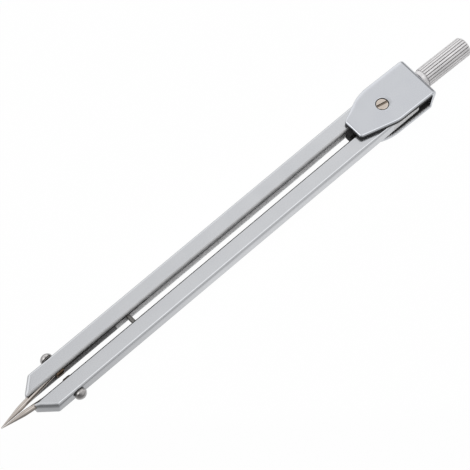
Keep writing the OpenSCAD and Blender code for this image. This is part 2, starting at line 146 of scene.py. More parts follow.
@dataclass(frozen=True)
class Layout:
    """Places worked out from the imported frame, in millimetres and radians.

    Attributes:
        clamp: length along the leg, from the pivot, of the clamp screw's axis.
        edge_out: distance of the legs' outer skins from the dividers' middle.
        toe: length along the leg of the toe's end.
        tip: lowest corner of the left needle: length along the leg, distance from that middle.
    """

    pivot: float
    lean: float
    clamp: float
    needle_tilt: float
    leg_z: float
    leg_t: float
    edge_out: float
    toe: float
    yoke_h: float
    front_liner: tuple[float, float]
    rear_liner: tuple[float, float]
    tip: tuple[float, float]

    @classmethod
    def from_frame(cls) -> "Layout":
        """Reads the joints, the handle's mount and the nodes' boxes.

        Returns:
            The places that every sub-assembly builds from.
        """
        joints = {joint["name"]: joint for joint in frame["joints"]}
        mounts = {mount["name"]: mount for mount in frame["record"]["mounts"]}
        pivot = joints["left_leg_open"]["pos_m"][0] / MM
        handle = mounts["handle"]["axis"]
        slide = joints["left_needle_slide"]["axis"]
        low, high = cls.box("left_leg")
        tip_low, _ = cls.box("left_needle")
        return cls(
            pivot=pivot,
            lean=math.atan2(handle[1], handle[0]),
            clamp=joints["left_clamp_turn"]["pos_m"][0] / MM - pivot,
            needle_tilt=math.atan2(slide[1], slide[0]),
            leg_z=low[2],
            leg_t=high[2] - low[2],
            edge_out=high[1],
            toe=low[0] - pivot,
            yoke_h=cls.box("head_yoke")[1][2],
            front_liner=tuple(corner[2] for corner in cls.box("front_friction_liner")),
            rear_liner=tuple(corner[2] for corner in cls.box("rear_friction_liner")),
            tip=(tip_low[0] - pivot, tip_low[1]),
        )

    @staticmethod
    def box(node: str) -> tuple[np.ndarray, np.ndarray]:
        """Lowest and highest corner of a CAD node in millimetres."""
        low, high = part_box(node)
        return np.array(low) / MM, np.array(high) / MM

    def head_seat(self) -> Seat:
        """Seat of the head, which leans about the pivot."""
        return Seat(self.pivot, self.lean)

    def leg_seat(self, side: Side) -> Seat:
        """Seat of a leg, mirrored for the right one."""
        return Seat(self.pivot, side=side.value)


def arc(centre: tuple[float, float], radius: float, start: float, stop: float, count: int) -> np.ndarray:
    """Points of an arc: centre + radius * (cos a, sin a), with a going evenly from start to stop.

    Args:
        centre: middle of the circle.
        radius: its radius.
        start: first angle in radians.
        stop: last angle in radians.
        count: number of points.

    Returns:
        Array of count by 2.
    """
    angle = np.linspace(start, stop, count)
    return np.asarray(centre, float) + radius * np.stack([np.cos(angle), np.sin(angle)], axis=-1)


def line(start: tuple[float, float], stop: tuple[float, float], count: int) -> np.ndarray:
    """Points that divide a line evenly, both ends left out.

    Args:
        start: one end.
        stop: other end.
        count: number of points between them.

    Returns:
        Array of count by 2.
    """
    share = np.linspace(0.0, 1.0, count + 2)[1:-1, None]
    return (1 - share) * np.asarray(start, float) + share * np.asarray(stop, float)


def lathe(profile: np.ndarray, turns: int) -> np.ndarray:
    """Surface of revolution: row i is a circle of radius profile[i, 1] at height profile[i, 0].

    Args:
        profile: array of (height, radius).
        turns: number of points round each circle.

    Returns:
        Array of rows by turns by (across, across, height).
    """
    angle = np.linspace(0.0, 2 * math.pi, turns, endpoint=False)
    height, radius = np.asarray(profile, float).T[:, :, None]
    return np.stack(
        [radius * np.cos(angle), radius * np.sin(angle), np.broadcast_to(height, (len(profile), turns))],
        axis=-1,
    )


def rounded(profile: list[tuple[float, float]], radii: list[float], steps: int = 4) -> np.ndarray:
    """Rounds the corners of a profile: each inner corner becomes a quadratic curve between its two sides.

    Args:
        profile: corner points in order.
        radii: length cut off both sides of each corner, 0 for a sharp one, ends included.
        steps: number of stretches in a rounded corner.

    Returns:
        Array of the points with the rounded corners.
    """
    corner = np.asarray(profile, float)
    share = np.linspace(0.0, 1.0, steps + 1)[:, None]
    points = [corner[:1]]
    for index in range(1, len(corner) - 1):
        here, cut = corner[index], radii[index]
        if cut == 0:
            points.append(here[None])
            continue
        before, after = corner[index - 1] - here, corner[index + 1] - here
        first = here + before * (cut / np.linalg.norm(before))
        last = here + after * (cut / np.linalg.norm(after))
        points.append((1 - share) ** 2 * first + 2 * share * (1 - share) * here + share**2 * last)
    points.append(corner[-1:])
    return np.concatenate(points)


def loop_normals(loop: np.ndarray) -> np.ndarray:
    """Outward normals of a closed loop that runs anticlockwise: its tangent turned back by a quarter.

    Args:
        loop: array of points by 2.

    Returns:
        Array of the same shape.
    """
    tangent = np.roll(loop, -1, axis=0) - np.roll(loop, 1, axis=0)
    normal = np.stack([tangent[:, 1], -tangent[:, 0]], axis=-1)
    return normal / np.linalg.norm(normal, axis=1, keepdims=True)


def edge_profile(
    thick: float, outer: tuple[float, float], inner: float, steps: int = RIM_POINTS
) -> np.ndarray:
    """Edge of a sheet from its outer to its inner face: a quarter ellipse, a wall and a quarter circle.

    Args:
        thick: thickness of the sheet.
        outer: radii of the outer rim, along the face and into the sheet.
        inner: radius of the inner rim.
        steps: number of points on each rim.

    Returns:
        Array of (inset from the edge, depth below the outer face).
    """
    rim = arc((1.0, 1.0), 1.0, -QUARTER, -math.pi, steps) * outer
    back = arc((inner, thick - inner), inner, math.pi, QUARTER, steps)
    return np.concatenate([rim, back])


class Part:
    """One closed surface of a piece, gathered from grids of points and welded by itself."""

    def __init__(self) -> None:
        """Starts with no points and no faces."""
        self.points: list[np.ndarray] = []
        self.faces: list[list[int]] = []
        self.lining: list[int] = []
        self.count = 0

    def keep(self, points: np.ndarray, faces: np.ndarray, lining: np.ndarray | int = 0) -> None:
        """Adds points and faces that count from the first of these points.

        Args:
            points: array of points by 3.
            faces: array of faces by corners.
            lining: material index of each face, or of all of them.
        """
        self.points.append(points.reshape(-1, 3))
        self.faces.extend((faces + self.count).tolist())
        self.lining.extend(np.broadcast_to(lining, len(faces)).tolist())
        self.count += len(self.points[-1])

    def grid(
        self, points: np.ndarray, wrap_rows: bool = False, wrap: bool = False, lining: np.ndarray | int = 0
    ) -> "Part":
        """Adds a grid of quads.

        Args:
            points: array of rows by columns by 3.
            wrap_rows: joins the last row to the first.
            wrap: joins the last column to the first.
            lining: material index of the quads, of their columns, or of their rows as rows by 1.

        Returns:
            This part.
        """
        rows, columns = points.shape[:2]
        index = np.arange(rows * columns).reshape(rows, columns)
        index = np.concatenate([index, index[:1]]) if wrap_rows else index
        index = np.concatenate([index, index[:, :1]], axis=1) if wrap else index
        corners = np.stack([index[:-1, :-1], index[:-1, 1:], index[1:, 1:], index[1:, :-1]], axis=-1)
        self.keep(points, corners.reshape(-1, 4), np.broadcast_to(lining, corners.shape[:2]).ravel())
        return self

    def cap(self, ring: np.ndarray) -> "Part":
        """Closes a loop whose point j lies opposite its point -1 - j, with quads between the pairs.

        Args:
            ring: array of an even number of points by 3.

        Returns:
            This part.
        """
        first = np.arange(len(ring) // 2 - 1)
        last = len(ring) - 1 - first
        self.keep(ring, np.stack([first, first + 1, last - 1, last], axis=-1))
        return self

    def sweep(self, sections: np.ndarray, lining: np.ndarray | int = 0) -> "Part":
        """Adds a skin through closed loops and caps both ends.

        Args:
            sections: array of stations by loop points by 3.
            lining: material index of the skin's columns.

        Returns:
            This part.
        """
        return self.grid(sections, wrap=True, lining=lining).cap(sections[0]).cap(sections[-1])

    def mesh(self, seat: Seat) -> bpy.types.Mesh:
        """Welds the part and turns its faces outwards.

        Args:
            seat: place of the part's axes.

        Returns:
            A mesh in the row frame.
        """
        mesh = bpy.data.meshes.new("part")
        mesh.from_pydata(seat.row(np.concatenate(self.points)).tolist(), [], self.faces)
        mesh.polygons.foreach_set("material_index", self.lining)
        work = bmesh.new()
        work.from_mesh(mesh)
        bmesh.ops.remove_doubles(work, verts=work.verts, dist=WELD)
        bmesh.ops.dissolve_degenerate(work, edges=work.edges, dist=WELD)
        bmesh.ops.recalc_face_normals(work, faces=work.faces)
        work.to_mesh(mesh)
        work.free()
        return mesh


def make_piece(name: str, parts: list[Part], seat: Seat) -> bpy.types.Object:
    """Joins welded parts into one smooth-shaded object whose flat faces stay flat.

    Args:
        name: name of the piece.
        parts: its closed surfaces.
        seat: place of their axes.

    Returns:
        The object, at the origin, with its place in its mesh.
    """
    whole = bmesh.new()
    for part in parts:
        mesh = part.mesh(seat)
        whole.from_mesh(mesh)
        bpy.data.meshes.remove(mesh)
    mesh = bpy.data.meshes.new(name)
    whole.to_mesh(mesh)
    whole.free()
    mesh.shade_smooth()
    mesh.set_sharp_from_angle(angle=SHARP)
    piece = bpy.data.objects.new(name, mesh)
    bpy.context.scene.collection.objects.link(piece)
    even = piece.modifiers.new("even_normals", "WEIGHTED_NORMAL")
    even.keep_sharp = True
    return piece


class NodeTree:
    """Short way to add and join shader nodes in a tree."""

    def __init__(self, tree: bpy.types.NodeTree) -> None:
        """Keeps the tree that nodes go into."""
        self.tree = tree

    def fill(self, node: bpy.types.Node, inputs: dict) -> None:
        """Joins sockets to a node's inputs, or sets them to values.

        Args:
            node: the node.
            inputs: values or sockets, by the input's name or number.
        """
        for name, value in inputs.items():
            if isinstance(value, bpy.types.NodeSocket):
                self.tree.links.new(value, node.inputs[name])
            else:
                node.inputs[name].default_value = value

    def add(self, kind: str, inputs: dict | None = None, **settings: object) -> bpy.types.Node:
        """Adds a node.

        Args:
            kind: Blender's name of the node type.
            inputs: values or sockets for the node's inputs, by name or number.
            settings: the node's own properties.

        Returns:
            The new node.
        """
        node = self.tree.nodes.new(kind)
        for name, value in settings.items():
            setattr(node, name, value)
        self.fill(node, inputs or {})
        return node

    def math(self, operation: str, *values: object) -> bpy.types.NodeSocket:
        """Adds a Math node and returns its result."""
        return self.add("ShaderNodeMath", dict(enumerate(values)), operation=operation).outputs[0]

    def ramp(self, value: object, start: float, stop: float, **settings: object) -> bpy.types.NodeSocket:
        """Adds a Map Range node that runs from 0 at start to 1 at stop, and returns its result."""
        inputs = {"Value": value, "From Min": start, "From Max": stop}
        return self.add("ShaderNodeMapRange", inputs, clamp=True, **settings).outputs[0]

    def noise(self, place: object, scale: object, detail: float, warp: float = 0.0) -> bpy.types.NodeSocket:
        """Adds a Noise Texture node and returns its value."""
        inputs = {"Vector": place, "Scale": scale, "Detail": detail, "Distortion": warp}
        return self.add("ShaderNodeTexNoise", inputs).outputs[0]

    def along(self, vector: object, direction: Vector) -> bpy.types.NodeSocket:
        """Adds a Vector Math node and returns the length of a vector along a direction."""
        inputs = {0: vector, 1: direction}
        return self.add("ShaderNodeVectorMath", inputs, operation="DOT_PRODUCT").outputs["Value"]

    def group(self, tree: bpy.types.NodeTree, inputs: dict) -> bpy.types.NodeSocket:
        """Adds a node group and returns its one result."""
        return self.add("ShaderNodeGroup", inputs, node_tree=tree).outputs[0]


class SurfaceGroups:
    """Node groups that several finishes share, each built once.

    Attributes:
        DETAIL: octaves of noise in the grain, the patches and the wear.
        SPREAD: values of the patches' noise that become 0 and 1.
        CONVEX: pointiness where wear starts and where it is full.
    """

    DETAIL = (3.0, 2.0, 4.0)
    WARP = 0.4
    SPREAD = (0.3, 0.7)
    CONVEX = (0.51, 0.62)

    def __init__(self) -> None:
        """Builds the groups."""
        self.grain = self._grain()
        self.cloud = self._cloud()
        self.wear = self._wear()

    @staticmethod
    def _group(
        name: str, vectors: tuple[str, ...], numbers: tuple[str, ...], result: str
    ) -> tuple[NodeTree, dict, bpy.types.NodeSocket]:
        """Starts a group with named sockets.

        Args:
            name: name of the group.
            vectors: names of its vector inputs.
            numbers: names of its number inputs, which come after them.
            result: name of its one output, a number.

        Returns:
            The group's tree, its inputs by name and the socket that takes its result.
        """
        tree = bpy.data.node_groups.new(name, "ShaderNodeTree")
        kinds = dict.fromkeys(vectors, "NodeSocketVector") | dict.fromkeys(numbers, "NodeSocketFloat")
        for label, kind in kinds.items():
            tree.interface.new_socket(label, in_out="INPUT", socket_type=kind)
        tree.interface.new_socket(result, in_out="OUTPUT", socket_type="NodeSocketFloat")
        nodes = NodeTree(tree)
        given = nodes.add("NodeGroupInput").outputs
        return nodes, given, nodes.add("NodeGroupOutput").inputs[result]

    def _grain(self) -> bpy.types.NodeTree:
        """Fine grain: noise on coordinates that are stretched along one direction.

        Returns:
            The group's tree.
        """
        nodes, given, out = self._group("metal_grain", ("Vector", "Stretch"), ("Scale",), "Grain")
        inputs = {0: given["Vector"], 1: given["Stretch"]}
        stretched = nodes.add("ShaderNodeVectorMath", inputs, operation="MULTIPLY").outputs[0]
        nodes.tree.links.new(nodes.noise(stretched, given["Scale"], self.DETAIL[0]), out)
        return nodes.tree

    def _cloud(self) -> bpy.types.NodeTree:
        """Soft patches: low noise, spread to the whole range from 0 to 1.

        Returns:
            The group's tree.
        """
        nodes, given, out = self._group("soft_patches", ("Vector",), ("Scale",), "Patches")
        noise = nodes.noise(given["Vector"], given["Scale"], self.DETAIL[1], self.WARP)
        nodes.tree.links.new(nodes.ramp(noise, *self.SPREAD), out)
        return nodes.tree

    def _wear(self) -> bpy.types.NodeTree:
        """Worn edges: convex places, broken up by noise.

        Returns:
            The group's tree.
        """
        nodes, given, out = self._group("edge_wear", ("Vector",), ("Scale", "Amount"), "Wear")
        bulge = nodes.add("ShaderNodeNewGeometry").outputs["Pointiness"]
        edge = nodes.ramp(bulge, *self.CONVEX)
        noise = nodes.noise(given["Vector"], given["Scale"], self.DETAIL[2])
        broken = nodes.math("MULTIPLY", edge, noise)
        nodes.tree.links.new(nodes.math("MULTIPLY", broken, given["Amount"]), out)
        return nodes.tree


@dataclass(frozen=True)
class Finish:
    """One finish of the dividers.

    Attributes:
        slot: the record's material slot; not used.
        colour: colour of the clean surface, linear.
        patch: colour that soft patches shift to.
        worn: colour of worn edges.
        metallic: 1 for metal.
        rough: least and greatest roughness.
        grain: noise scale of the grain, per metre.
        stretch: stretch of the grain along X, Y and Z.
        bump: depth of the grain in metres.
        patches: noise scale of the patches, per metre.
        wear: strength of worn edges.
    """

    slot: str
    colour: tuple[float, float, float]
    patch: tuple[float, float, float]
    worn: tuple[float, float, float]
    metallic: float = 1.0
    rough: tuple[float, float] = (0.22, 0.32)
    grain: float = 2600.0
    stretch: tuple[float, float, float] = (1.0, 1.0, 1.0)
    bump: float = 6e-7
    patches: float = 160.0
    wear: float = 0.5


class Finishes(Enum):
    """The finishes by name."""

    LEG_PLATE = Finish(
        "plated_sheet", (0.60, 0.61, 0.63), (0.58, 0.59, 0.612), (0.68, 0.69, 0.71),
        rough=(0.16, 0.22), stretch=(0.25, 1.0, 1.0),
    )
    # Painted light: a pale diffuse grey that stands in for the light inside the shaded channels and on the cheeks'
    # inner faces, and the painted highlight in the clamp screws' slots.
    PAINTED_LIGHT = Finish(
        "plated_sheet", (0.80, 0.80, 0.80), (0.72, 0.72, 0.73), (0.82, 0.82, 0.82),
        metallic=0.1, rough=(0.45, 0.6),
    )
    # Painted light: near-white on the inner side of the legs' lower free edges, which lie in shade.
    LIP_PAINTED_LIGHT = Finish(
        "plated_sheet", (0.93, 0.93, 0.93), (0.88, 0.88, 0.89), (0.95, 0.95, 0.95),
        metallic=0.0, rough=(0.45, 0.6),
    )
    # Painted shade: near-black on the yoke's recesses and the front cheek's lower wall, and on the right leg's
    # upper free edge, near its toe and deep in its channel.
    DARK_PAINTED_SHADE = Finish(
        "plated_sheet", (0.08, 0.08, 0.082), (0.05, 0.05, 0.05), (0.12, 0.12, 0.12),
        rough=(0.4, 0.5), wear=0.2,
    )
    # Painted shade: a dull grey in place of the plate on the left leg's upper curl, near its toe and deep in its
    # channel.
    GREY_PAINTED_SHADE = Finish(
        "plated_sheet", (0.46, 0.46, 0.465), (0.40, 0.40, 0.405), (0.50, 0.50, 0.50),
        metallic=0.6, rough=(0.35, 0.45), wear=0.2,
    )
    YOKE_PLATE = Finish(
        "plated_sheet", (0.585, 0.60, 0.63), (0.565, 0.58, 0.615), (0.70, 0.71, 0.73),
        rough=(0.15, 0.21), stretch=(1.0, 0.4, 1.0),
    )
    KNURL_PLATE = Finish(
        "knurled_handle", (0.73, 0.715, 0.72), (0.66, 0.65, 0.655), (0.80, 0.80, 0.80),
        metallic=0.6, rough=(0.34, 0.42),
    )
    # Painted shade in the knurling's grooves.
    GROOVE_PAINTED_SHADE = Finish(
        "knurled_handle", (0.42, 0.405, 0.405), (0.36, 0.35, 0.35), (0.56, 0.55, 0.55),
        metallic=0.6, rough=(0.4, 0.5),
    )
    NICKEL_SILVER = Finish(
        "nickel_silver", (0.70, 0.63, 0.565), (0.58, 0.51, 0.45), (0.76, 0.72, 0.66), rough=(0.16, 0.26),
    )
    # Painted shade on the pivot screw's slot.
    SLOT_PAINTED_SHADE = Finish(
        "nickel_silver", (0.30, 0.245, 0.20), (0.22, 0.18, 0.145), (0.40, 0.34, 0.29), rough=(0.35, 0.5),
    )
    SCREW_STEEL = Finish(
        "plated_screw", (0.54, 0.525, 0.52), (0.40, 0.385, 0.38), (0.68, 0.66, 0.64), rough=(0.06, 0.12),
    )
    NEEDLE_STEEL = Finish(
        "needle_steel", (0.52, 0.475, 0.44), (0.45, 0.41, 0.38), (0.63, 0.59, 0.55),
        rough=(0.10, 0.18), stretch=(0.15, 1.0, 1.0), wear=0.2,
    )
    # Dark steel of the troughs, washers, spring washer and stop post; on the legs the same colour is painted shade
    # deep inside the channels.
    DARK_STEEL = Finish(
        "dark_steel", (0.19, 0.185, 0.175), (0.12, 0.115, 0.11), (0.26, 0.25, 0.24),
        metallic=0.5, rough=(0.34, 0.5),
    )
    DARK_BRASS = Finish(
        "dark_brass", (0.11, 0.072, 0.045), (0.02, 0.016, 0.013), (0.30, 0.22, 0.15),
        rough=(0.2, 0.4), patches=1400.0, wear=0.9,
    )
    FIBRE = Finish(
        "black_fibre", (0.010, 0.010, 0.011), (0.016, 0.016, 0.017), (0.03, 0.03, 0.03),
        metallic=0.0, rough=(0.6, 0.8), grain=5000.0, bump=6e-6, wear=0.3,
    )
    PLASTIC = Finish(
        "black_plastic", (0.009, 0.009, 0.010), (0.014, 0.014, 0.015), (0.03, 0.03, 0.03),
        metallic=0.0, rough=(0.75, 0.9), grain=3500.0, bump=3e-6, wear=0.3,
    )


class Finisher:
    """Builds each finish's material once and hands it out.

    Attributes:
        WEAR_SCALE: noise scale of the wear as a share of the grain's.
        GRAIN_SHARE: share of the grain in the roughness; the patches have the rest.
        UNEVEN: values of that mixture that get the least and the greatest roughness.
        BUMP: strength of the bump.
    """

    WEAR_SCALE = 0.25
    GRAIN_SHARE = 0.5
    UNEVEN = (0.2, 0.8)
    BUMP = 0.6

    def __init__(self) -> None:
        """Builds the shared node groups."""
        self.groups = SurfaceGroups()
        self.made: dict[Finishes, bpy.types.Material] = {}

    def material(self, choice: Finishes) -> bpy.types.Material:
        """Gives the material of a finish.

        Args:
            choice: the finish.

        Returns:
            Its material, built at the first call.
        """
        if choice not in self.made:
            self.made[choice] = self._build(choice.name.lower(), choice.value)
        return self.made[choice]

    def _build(self, name: str, finish: Finish) -> bpy.types.Material:
        """Grain drives bump and roughness, patches shift the colour and wear brightens the edges.

        Args:
            name: name of the material.
            finish: its values.

        Returns:
            The new material.
        """
        material = bpy.data.materials.new(name)
        material.use_nodes = True
        nodes = NodeTree(material.node_tree)
        shader = material.node_tree.nodes["Principled BSDF"]
        place = nodes.add("ShaderNodeTexCoord").outputs["Object"]
        inputs = {"Vector": place, "Stretch": finish.stretch, "Scale": finish.grain}
        grain = nodes.group(self.groups.grain, inputs)
        patches = nodes.group(self.groups.cloud, {"Vector": place, "Scale": finish.patches})
        inputs = {"Vector": place, "Scale": finish.grain * self.WEAR_SCALE, "Amount": finish.wear}
        wear = nodes.group(self.groups.wear, inputs)
        patched = self._mix(nodes, patches, finish.colour, finish.patch)
        colour = self._mix(nodes, wear, patched, finish.worn)
        uneven = nodes.math("MULTIPLY", grain, self.GRAIN_SHARE)
        uneven = nodes.math("MULTIPLY_ADD", patches, 1 - self.GRAIN_SHARE, uneven)
        names = ("From Min", "From Max", "To Min", "To Max")
        inputs = {"Value": uneven, **dict(zip(names, self.UNEVEN + finish.rough))}
        rough = nodes.add("ShaderNodeMapRange", inputs).outputs[0]
        inputs = {"Height": grain, "Strength": self.BUMP, "Distance": finish.bump}
        bump = nodes.add("ShaderNodeBump", inputs).outputs[0]
        nodes.fill(shader, {
            "Base Color": colour, "Roughness": rough, "Normal": bump, "Metallic": finish.metallic,
        })
        return material

    @staticmethod
    def _mix(
        nodes: NodeTree, share: bpy.types.NodeSocket, first: object, second: object
    ) -> bpy.types.NodeSocket:
        """Mixes two colours.

        Args:
            nodes: tree that the node goes into.
            share: socket with the share of the second colour.
            first: colour or socket.
            second: colour or socket.

        Returns:
            The mixed colour's socket.
        """
        mix = nodes.add("ShaderNodeMix", data_type="RGBA")
        colours = [socket for socket in mix.inputs if socket.type == "RGBA"]
        nodes.tree.links.new(share, mix.inputs["Factor"])
        for socket, value in zip(colours, (first, second)):
            if isinstance(value, bpy.types.NodeSocket):
                nodes.tree.links.new(value, socket)
            else:
                socket.default_value = (*value, 1.0)
        return next(socket for socket in mix.outputs if socket.type == "RGBA")

    def dress(self, piece: bpy.types.Object, choice: Finishes, body: str, *nodes: str) -> None:
        """Gives a new piece its finish, its body and the CAD nodes that it stands for.

        Args:
            piece: the new piece.
            choice: its finish.
            body: CAD body that it rides on.
            nodes: CAD nodes that it replaces.
        """
        piece.data.materials.append(self.material(choice))
        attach(piece, body)
        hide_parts(*nodes)
        LOG.info("%s: %d faces, rides on %s", piece.name, len(piece.data.polygons), body)

    def line(self, piece: bpy.types.Object, *choices: Finishes) -> None:
        """Gives a piece its second and further finishes, which are painted light and painted shade, for the faces
        that its parts have marked.
        """
        for choice in choices:
            piece.data.materials.append(self.material(choice))

    def paint(self, node: str, choice: Finishes) -> None:
        """Gives a CAD node that stays in sight its finish.

        Args:
            node: the node.
            choice: its finish.
        """
        mesh = frame["nodes"][node].data
        mesh.materials.clear()
        mesh.materials.append(self.material(choice))
        LOG.info("%s: CAD solid, painted", node)


def raised(points: np.ndarray, height: float) -> np.ndarray:
    """Puts flat points at one height."""
    return np.column_stack([points, np.full(len(points), height)])


def disc(radius: float) -> np.ndarray:
    """Outline of a disc round the origin, anticlockwise."""
    return arc((0.0, 0.0), radius, 0.0, 2 * math.pi, DISC_POINTS + 1)[:-1]


def ring_plate(outline: np.ndarray, hole: float, low: float, high: float, lip: float) -> Part:
    """Flat plate round a hole: rows from the hole over the rounded edge and back, closed into a ring.

    Args:
        outline: closed outline that runs anticlockwise and is seen whole from the hole's middle.
        hole: radius of the hole.
        low: height of its lower face.
        high: height of its upper face.
        lip: radius of its outer edges.

    Returns:
        The plate as a part.
    """
    bore = hole * outline / np.linalg.norm(outline, axis=1, keepdims=True)
    normal = loop_normals(outline)
    edge = edge_profile(high - low, (lip, lip), lip, PLATE_RIM_POINTS)
    rim = [raised(outline - inset * normal, high - depth) for inset, depth in edge]
    rows = np.stack([raised(bore, high), *rim, raised(bore, low)])
    return Part().grid(rows, wrap_rows=True, wrap=True)


def rounded_loop(half: tuple[float, float], radius: float, steps: int = 4) -> np.ndarray:
    """Rectangle with rounded corners, centred, its point j opposite its point -1 - j across the first axis.

    Args:
        half: half sizes along both axes.
        radius: radius of the corners.
        steps: number of stretches in a corner.

    Returns:
        Array of points by 2.
    """
    a, b = half[0] - radius, half[1] - radius
    upper = np.concatenate([
        arc((a, b), radius, 0.0, QUARTER, steps + 1),
        arc((-a, b), radius, QUARTER, math.pi, steps + 1),
    ])
    return np.concatenate([upper, (upper * (1.0, -1.0))[::-1]])


def rounded_bar(
    half: tuple[float, float], ends: tuple[float, float], radius: float, nose: float | None = None
) -> np.ndarray:
    """Loops of a bar whose edges are all rounded: its section shrinks on a quarter circle at both ends.

    Args:
        half: half sizes of its section.
        ends: where the bar starts and ends along its length.
        radius: radius of its edges.
        nose: radius of the edges at its start, where that is another one.

    Returns:
        Array of stations by loop points by (across, across, along).
    """
    nose = radius if nose is None else nose
    first = arc((nose, ends[0] + nose), nose, -QUARTER, -math.pi, RIM_POINTS)
    last = arc((radius, ends[1] - radius), radius, math.pi, QUARTER, END_POINTS)
    least = radius / 8
    loops = []
    for inset, along in np.concatenate([first, last]):
        corner = radius + (nose - radius) * min(inset / nose, 1.0) if along < sum(ends) / 2 else radius
        loop = rounded_loop((half[0] - inset, half[1] - inset), max(corner - inset, least))
        loops.append(raised(loop, along))
    return np.stack(loops)


def channel_loop(
    depths: tuple[float, float], bends: tuple[tuple, tuple], sheet: float, low: float, high: float,
    curls: tuple[float, float],
) -> np.ndarray:
    """Section of a folded channel: the outer skin from one free edge to the other, the inner skin back.

    Each fold is a quarter of an ellipse, (across + a * cos t, down + b * sin t). The inner skin's fold has
    the same centre, with both radii less by the sheet. Where the free edge lies nearer to the back than
    that centre, the fold starts at the angle t that the flat face meets it at. The free edges curl inwards
    on a quarter circle and end in a round tip; with a curl of less than half a sheet they are plain.

    Args:
        depths: distances from the channel's back to its upper and its lower free edge.
        bends: outside radii of its upper and its lower fold, along the face and down the back.
        sheet: thickness of its sheet.
        low: height of its lower face.
        high: height of its upper face.
        curls: outside radii of the curls at its upper and its lower free edge.

    Returns:
        Array of (distance from the back, height), point j opposite point -1 - j.
    """
    half = (high - low) / 2

    def half_skin(depth: float, bend: tuple[float, float], curl: float, inner: bool) -> np.ndarray:
        """Half of the outer or the inner skin, as an upper half.

        Args:
            depth: distance from the back to the free edge.
            bend: outside radii of the fold.
            curl: outside radius of the curl.
            inner: whether it is the inner skin.

        Returns:
            Array of (distance from the back, height), from the tip to mid height.
        """
        across, down = bend
        turned = min(max(2 * curl / sheet - 1, 0.0), 1.0)
        tip = (PLAIN_TIP + turned * (0.5 - PLAIN_TIP)) * sheet
        inset, side = (sheet, -1.0) if inner else (0.0, 1.0)
        end = depth - inner * (PLAIN_TIP + turned * (1 - PLAIN_TIP)) * sheet
        wide, tall = max(across - inset, LEAST_RADIUS), max(down - inset, LEAST_RADIUS)
        radius = max(curl - inset, PLAIN_TIP * sheet)
        reach = end - radius
        start = math.acos(max(min((reach - across) / wide, 0.0), -1.0))
        angle = np.linspace(start, math.pi, FOLD_POINTS)
        fold = np.stack([across + wide * np.cos(angle), half - down + tall * np.sin(angle)], axis=-1)
        top, wall = fold[0, 1], (fold[-1, 0], 0.0)
        nose = arc((0.0, 0.0), tip, TIP_START, 0.0, TIP_POINTS + 1)[:-1] * (side, 1.0)
        roll = arc((reach, top - radius), radius, 0.0, QUARTER, CURL_POINTS)
        flat = (max(reach - LIP_WIDTH, (reach + fold[0, 0]) / 2), top)
        return np.concatenate([
            nose + (end - side * tip, top - radius), roll, [flat], fold,
            line(tuple(fold[-1]), wall, WALL_POINTS), [wall],
        ])

    skins = []
    for inner in (False, True):
        upper, lower = (half_skin(*flange, inner) for flange in zip(depths, bends, curls))
        skins.append(np.concatenate([upper, lower[-2::-1] * (1.0, -1.0)]))
    return np.concatenate([skins[0], skins[1][::-1]]) + (0.0, (high + low) / 2)


def channel_lining(count: int, edge: int) -> np.ndarray:
    """Linings of a channel section's columns: inside behind the tips of its free edges, skin outside. Inside and
    lip carry painted light, edge and deep painted shade.

    Args:
        count: number of points in the section.
        edge: number of columns from the tip of the upper free edge that are edge.

    Returns:
        Array of count, the inner side of the lower free edge being lip and then deep.
    """
    column = np.arange(count)
    inside = column - count // 2
    behind = np.minimum(inside, count - 2 - column)
    lip = TIP_POINTS + CURL_POINTS
    lining = np.where(behind >= TIP_POINTS, Lining.INSIDE, Lining.SKIN)
    lining[column < edge] = Lining.EDGE
    lining[(inside >= 0) & (inside < lip)] = Lining.LIP
    lining[(inside >= lip) & (inside < lip + 2)] = Lining.DEEP
    return lining


def channel_station(back: np.ndarray, edge: np.ndarray, loop: np.ndarray, depth: float) -> np.ndarray:
    """Stretches a channel's section from its back to its free edge: back + a / depth * (edge - back).

    Args:
        back: (u, v) of the outer skin.
        edge: (u, v) of the free edge.
        loop: section as channel_loop gives it.
        depth: the section's own depth.

    Returns:
        Array of loop points by (u, v, z).
    """
    share = loop[:, :1] / depth
    return np.column_stack([np.asarray(back) + share * (np.asarray(edge) - np.asarray(back)), loop[:, 1]])


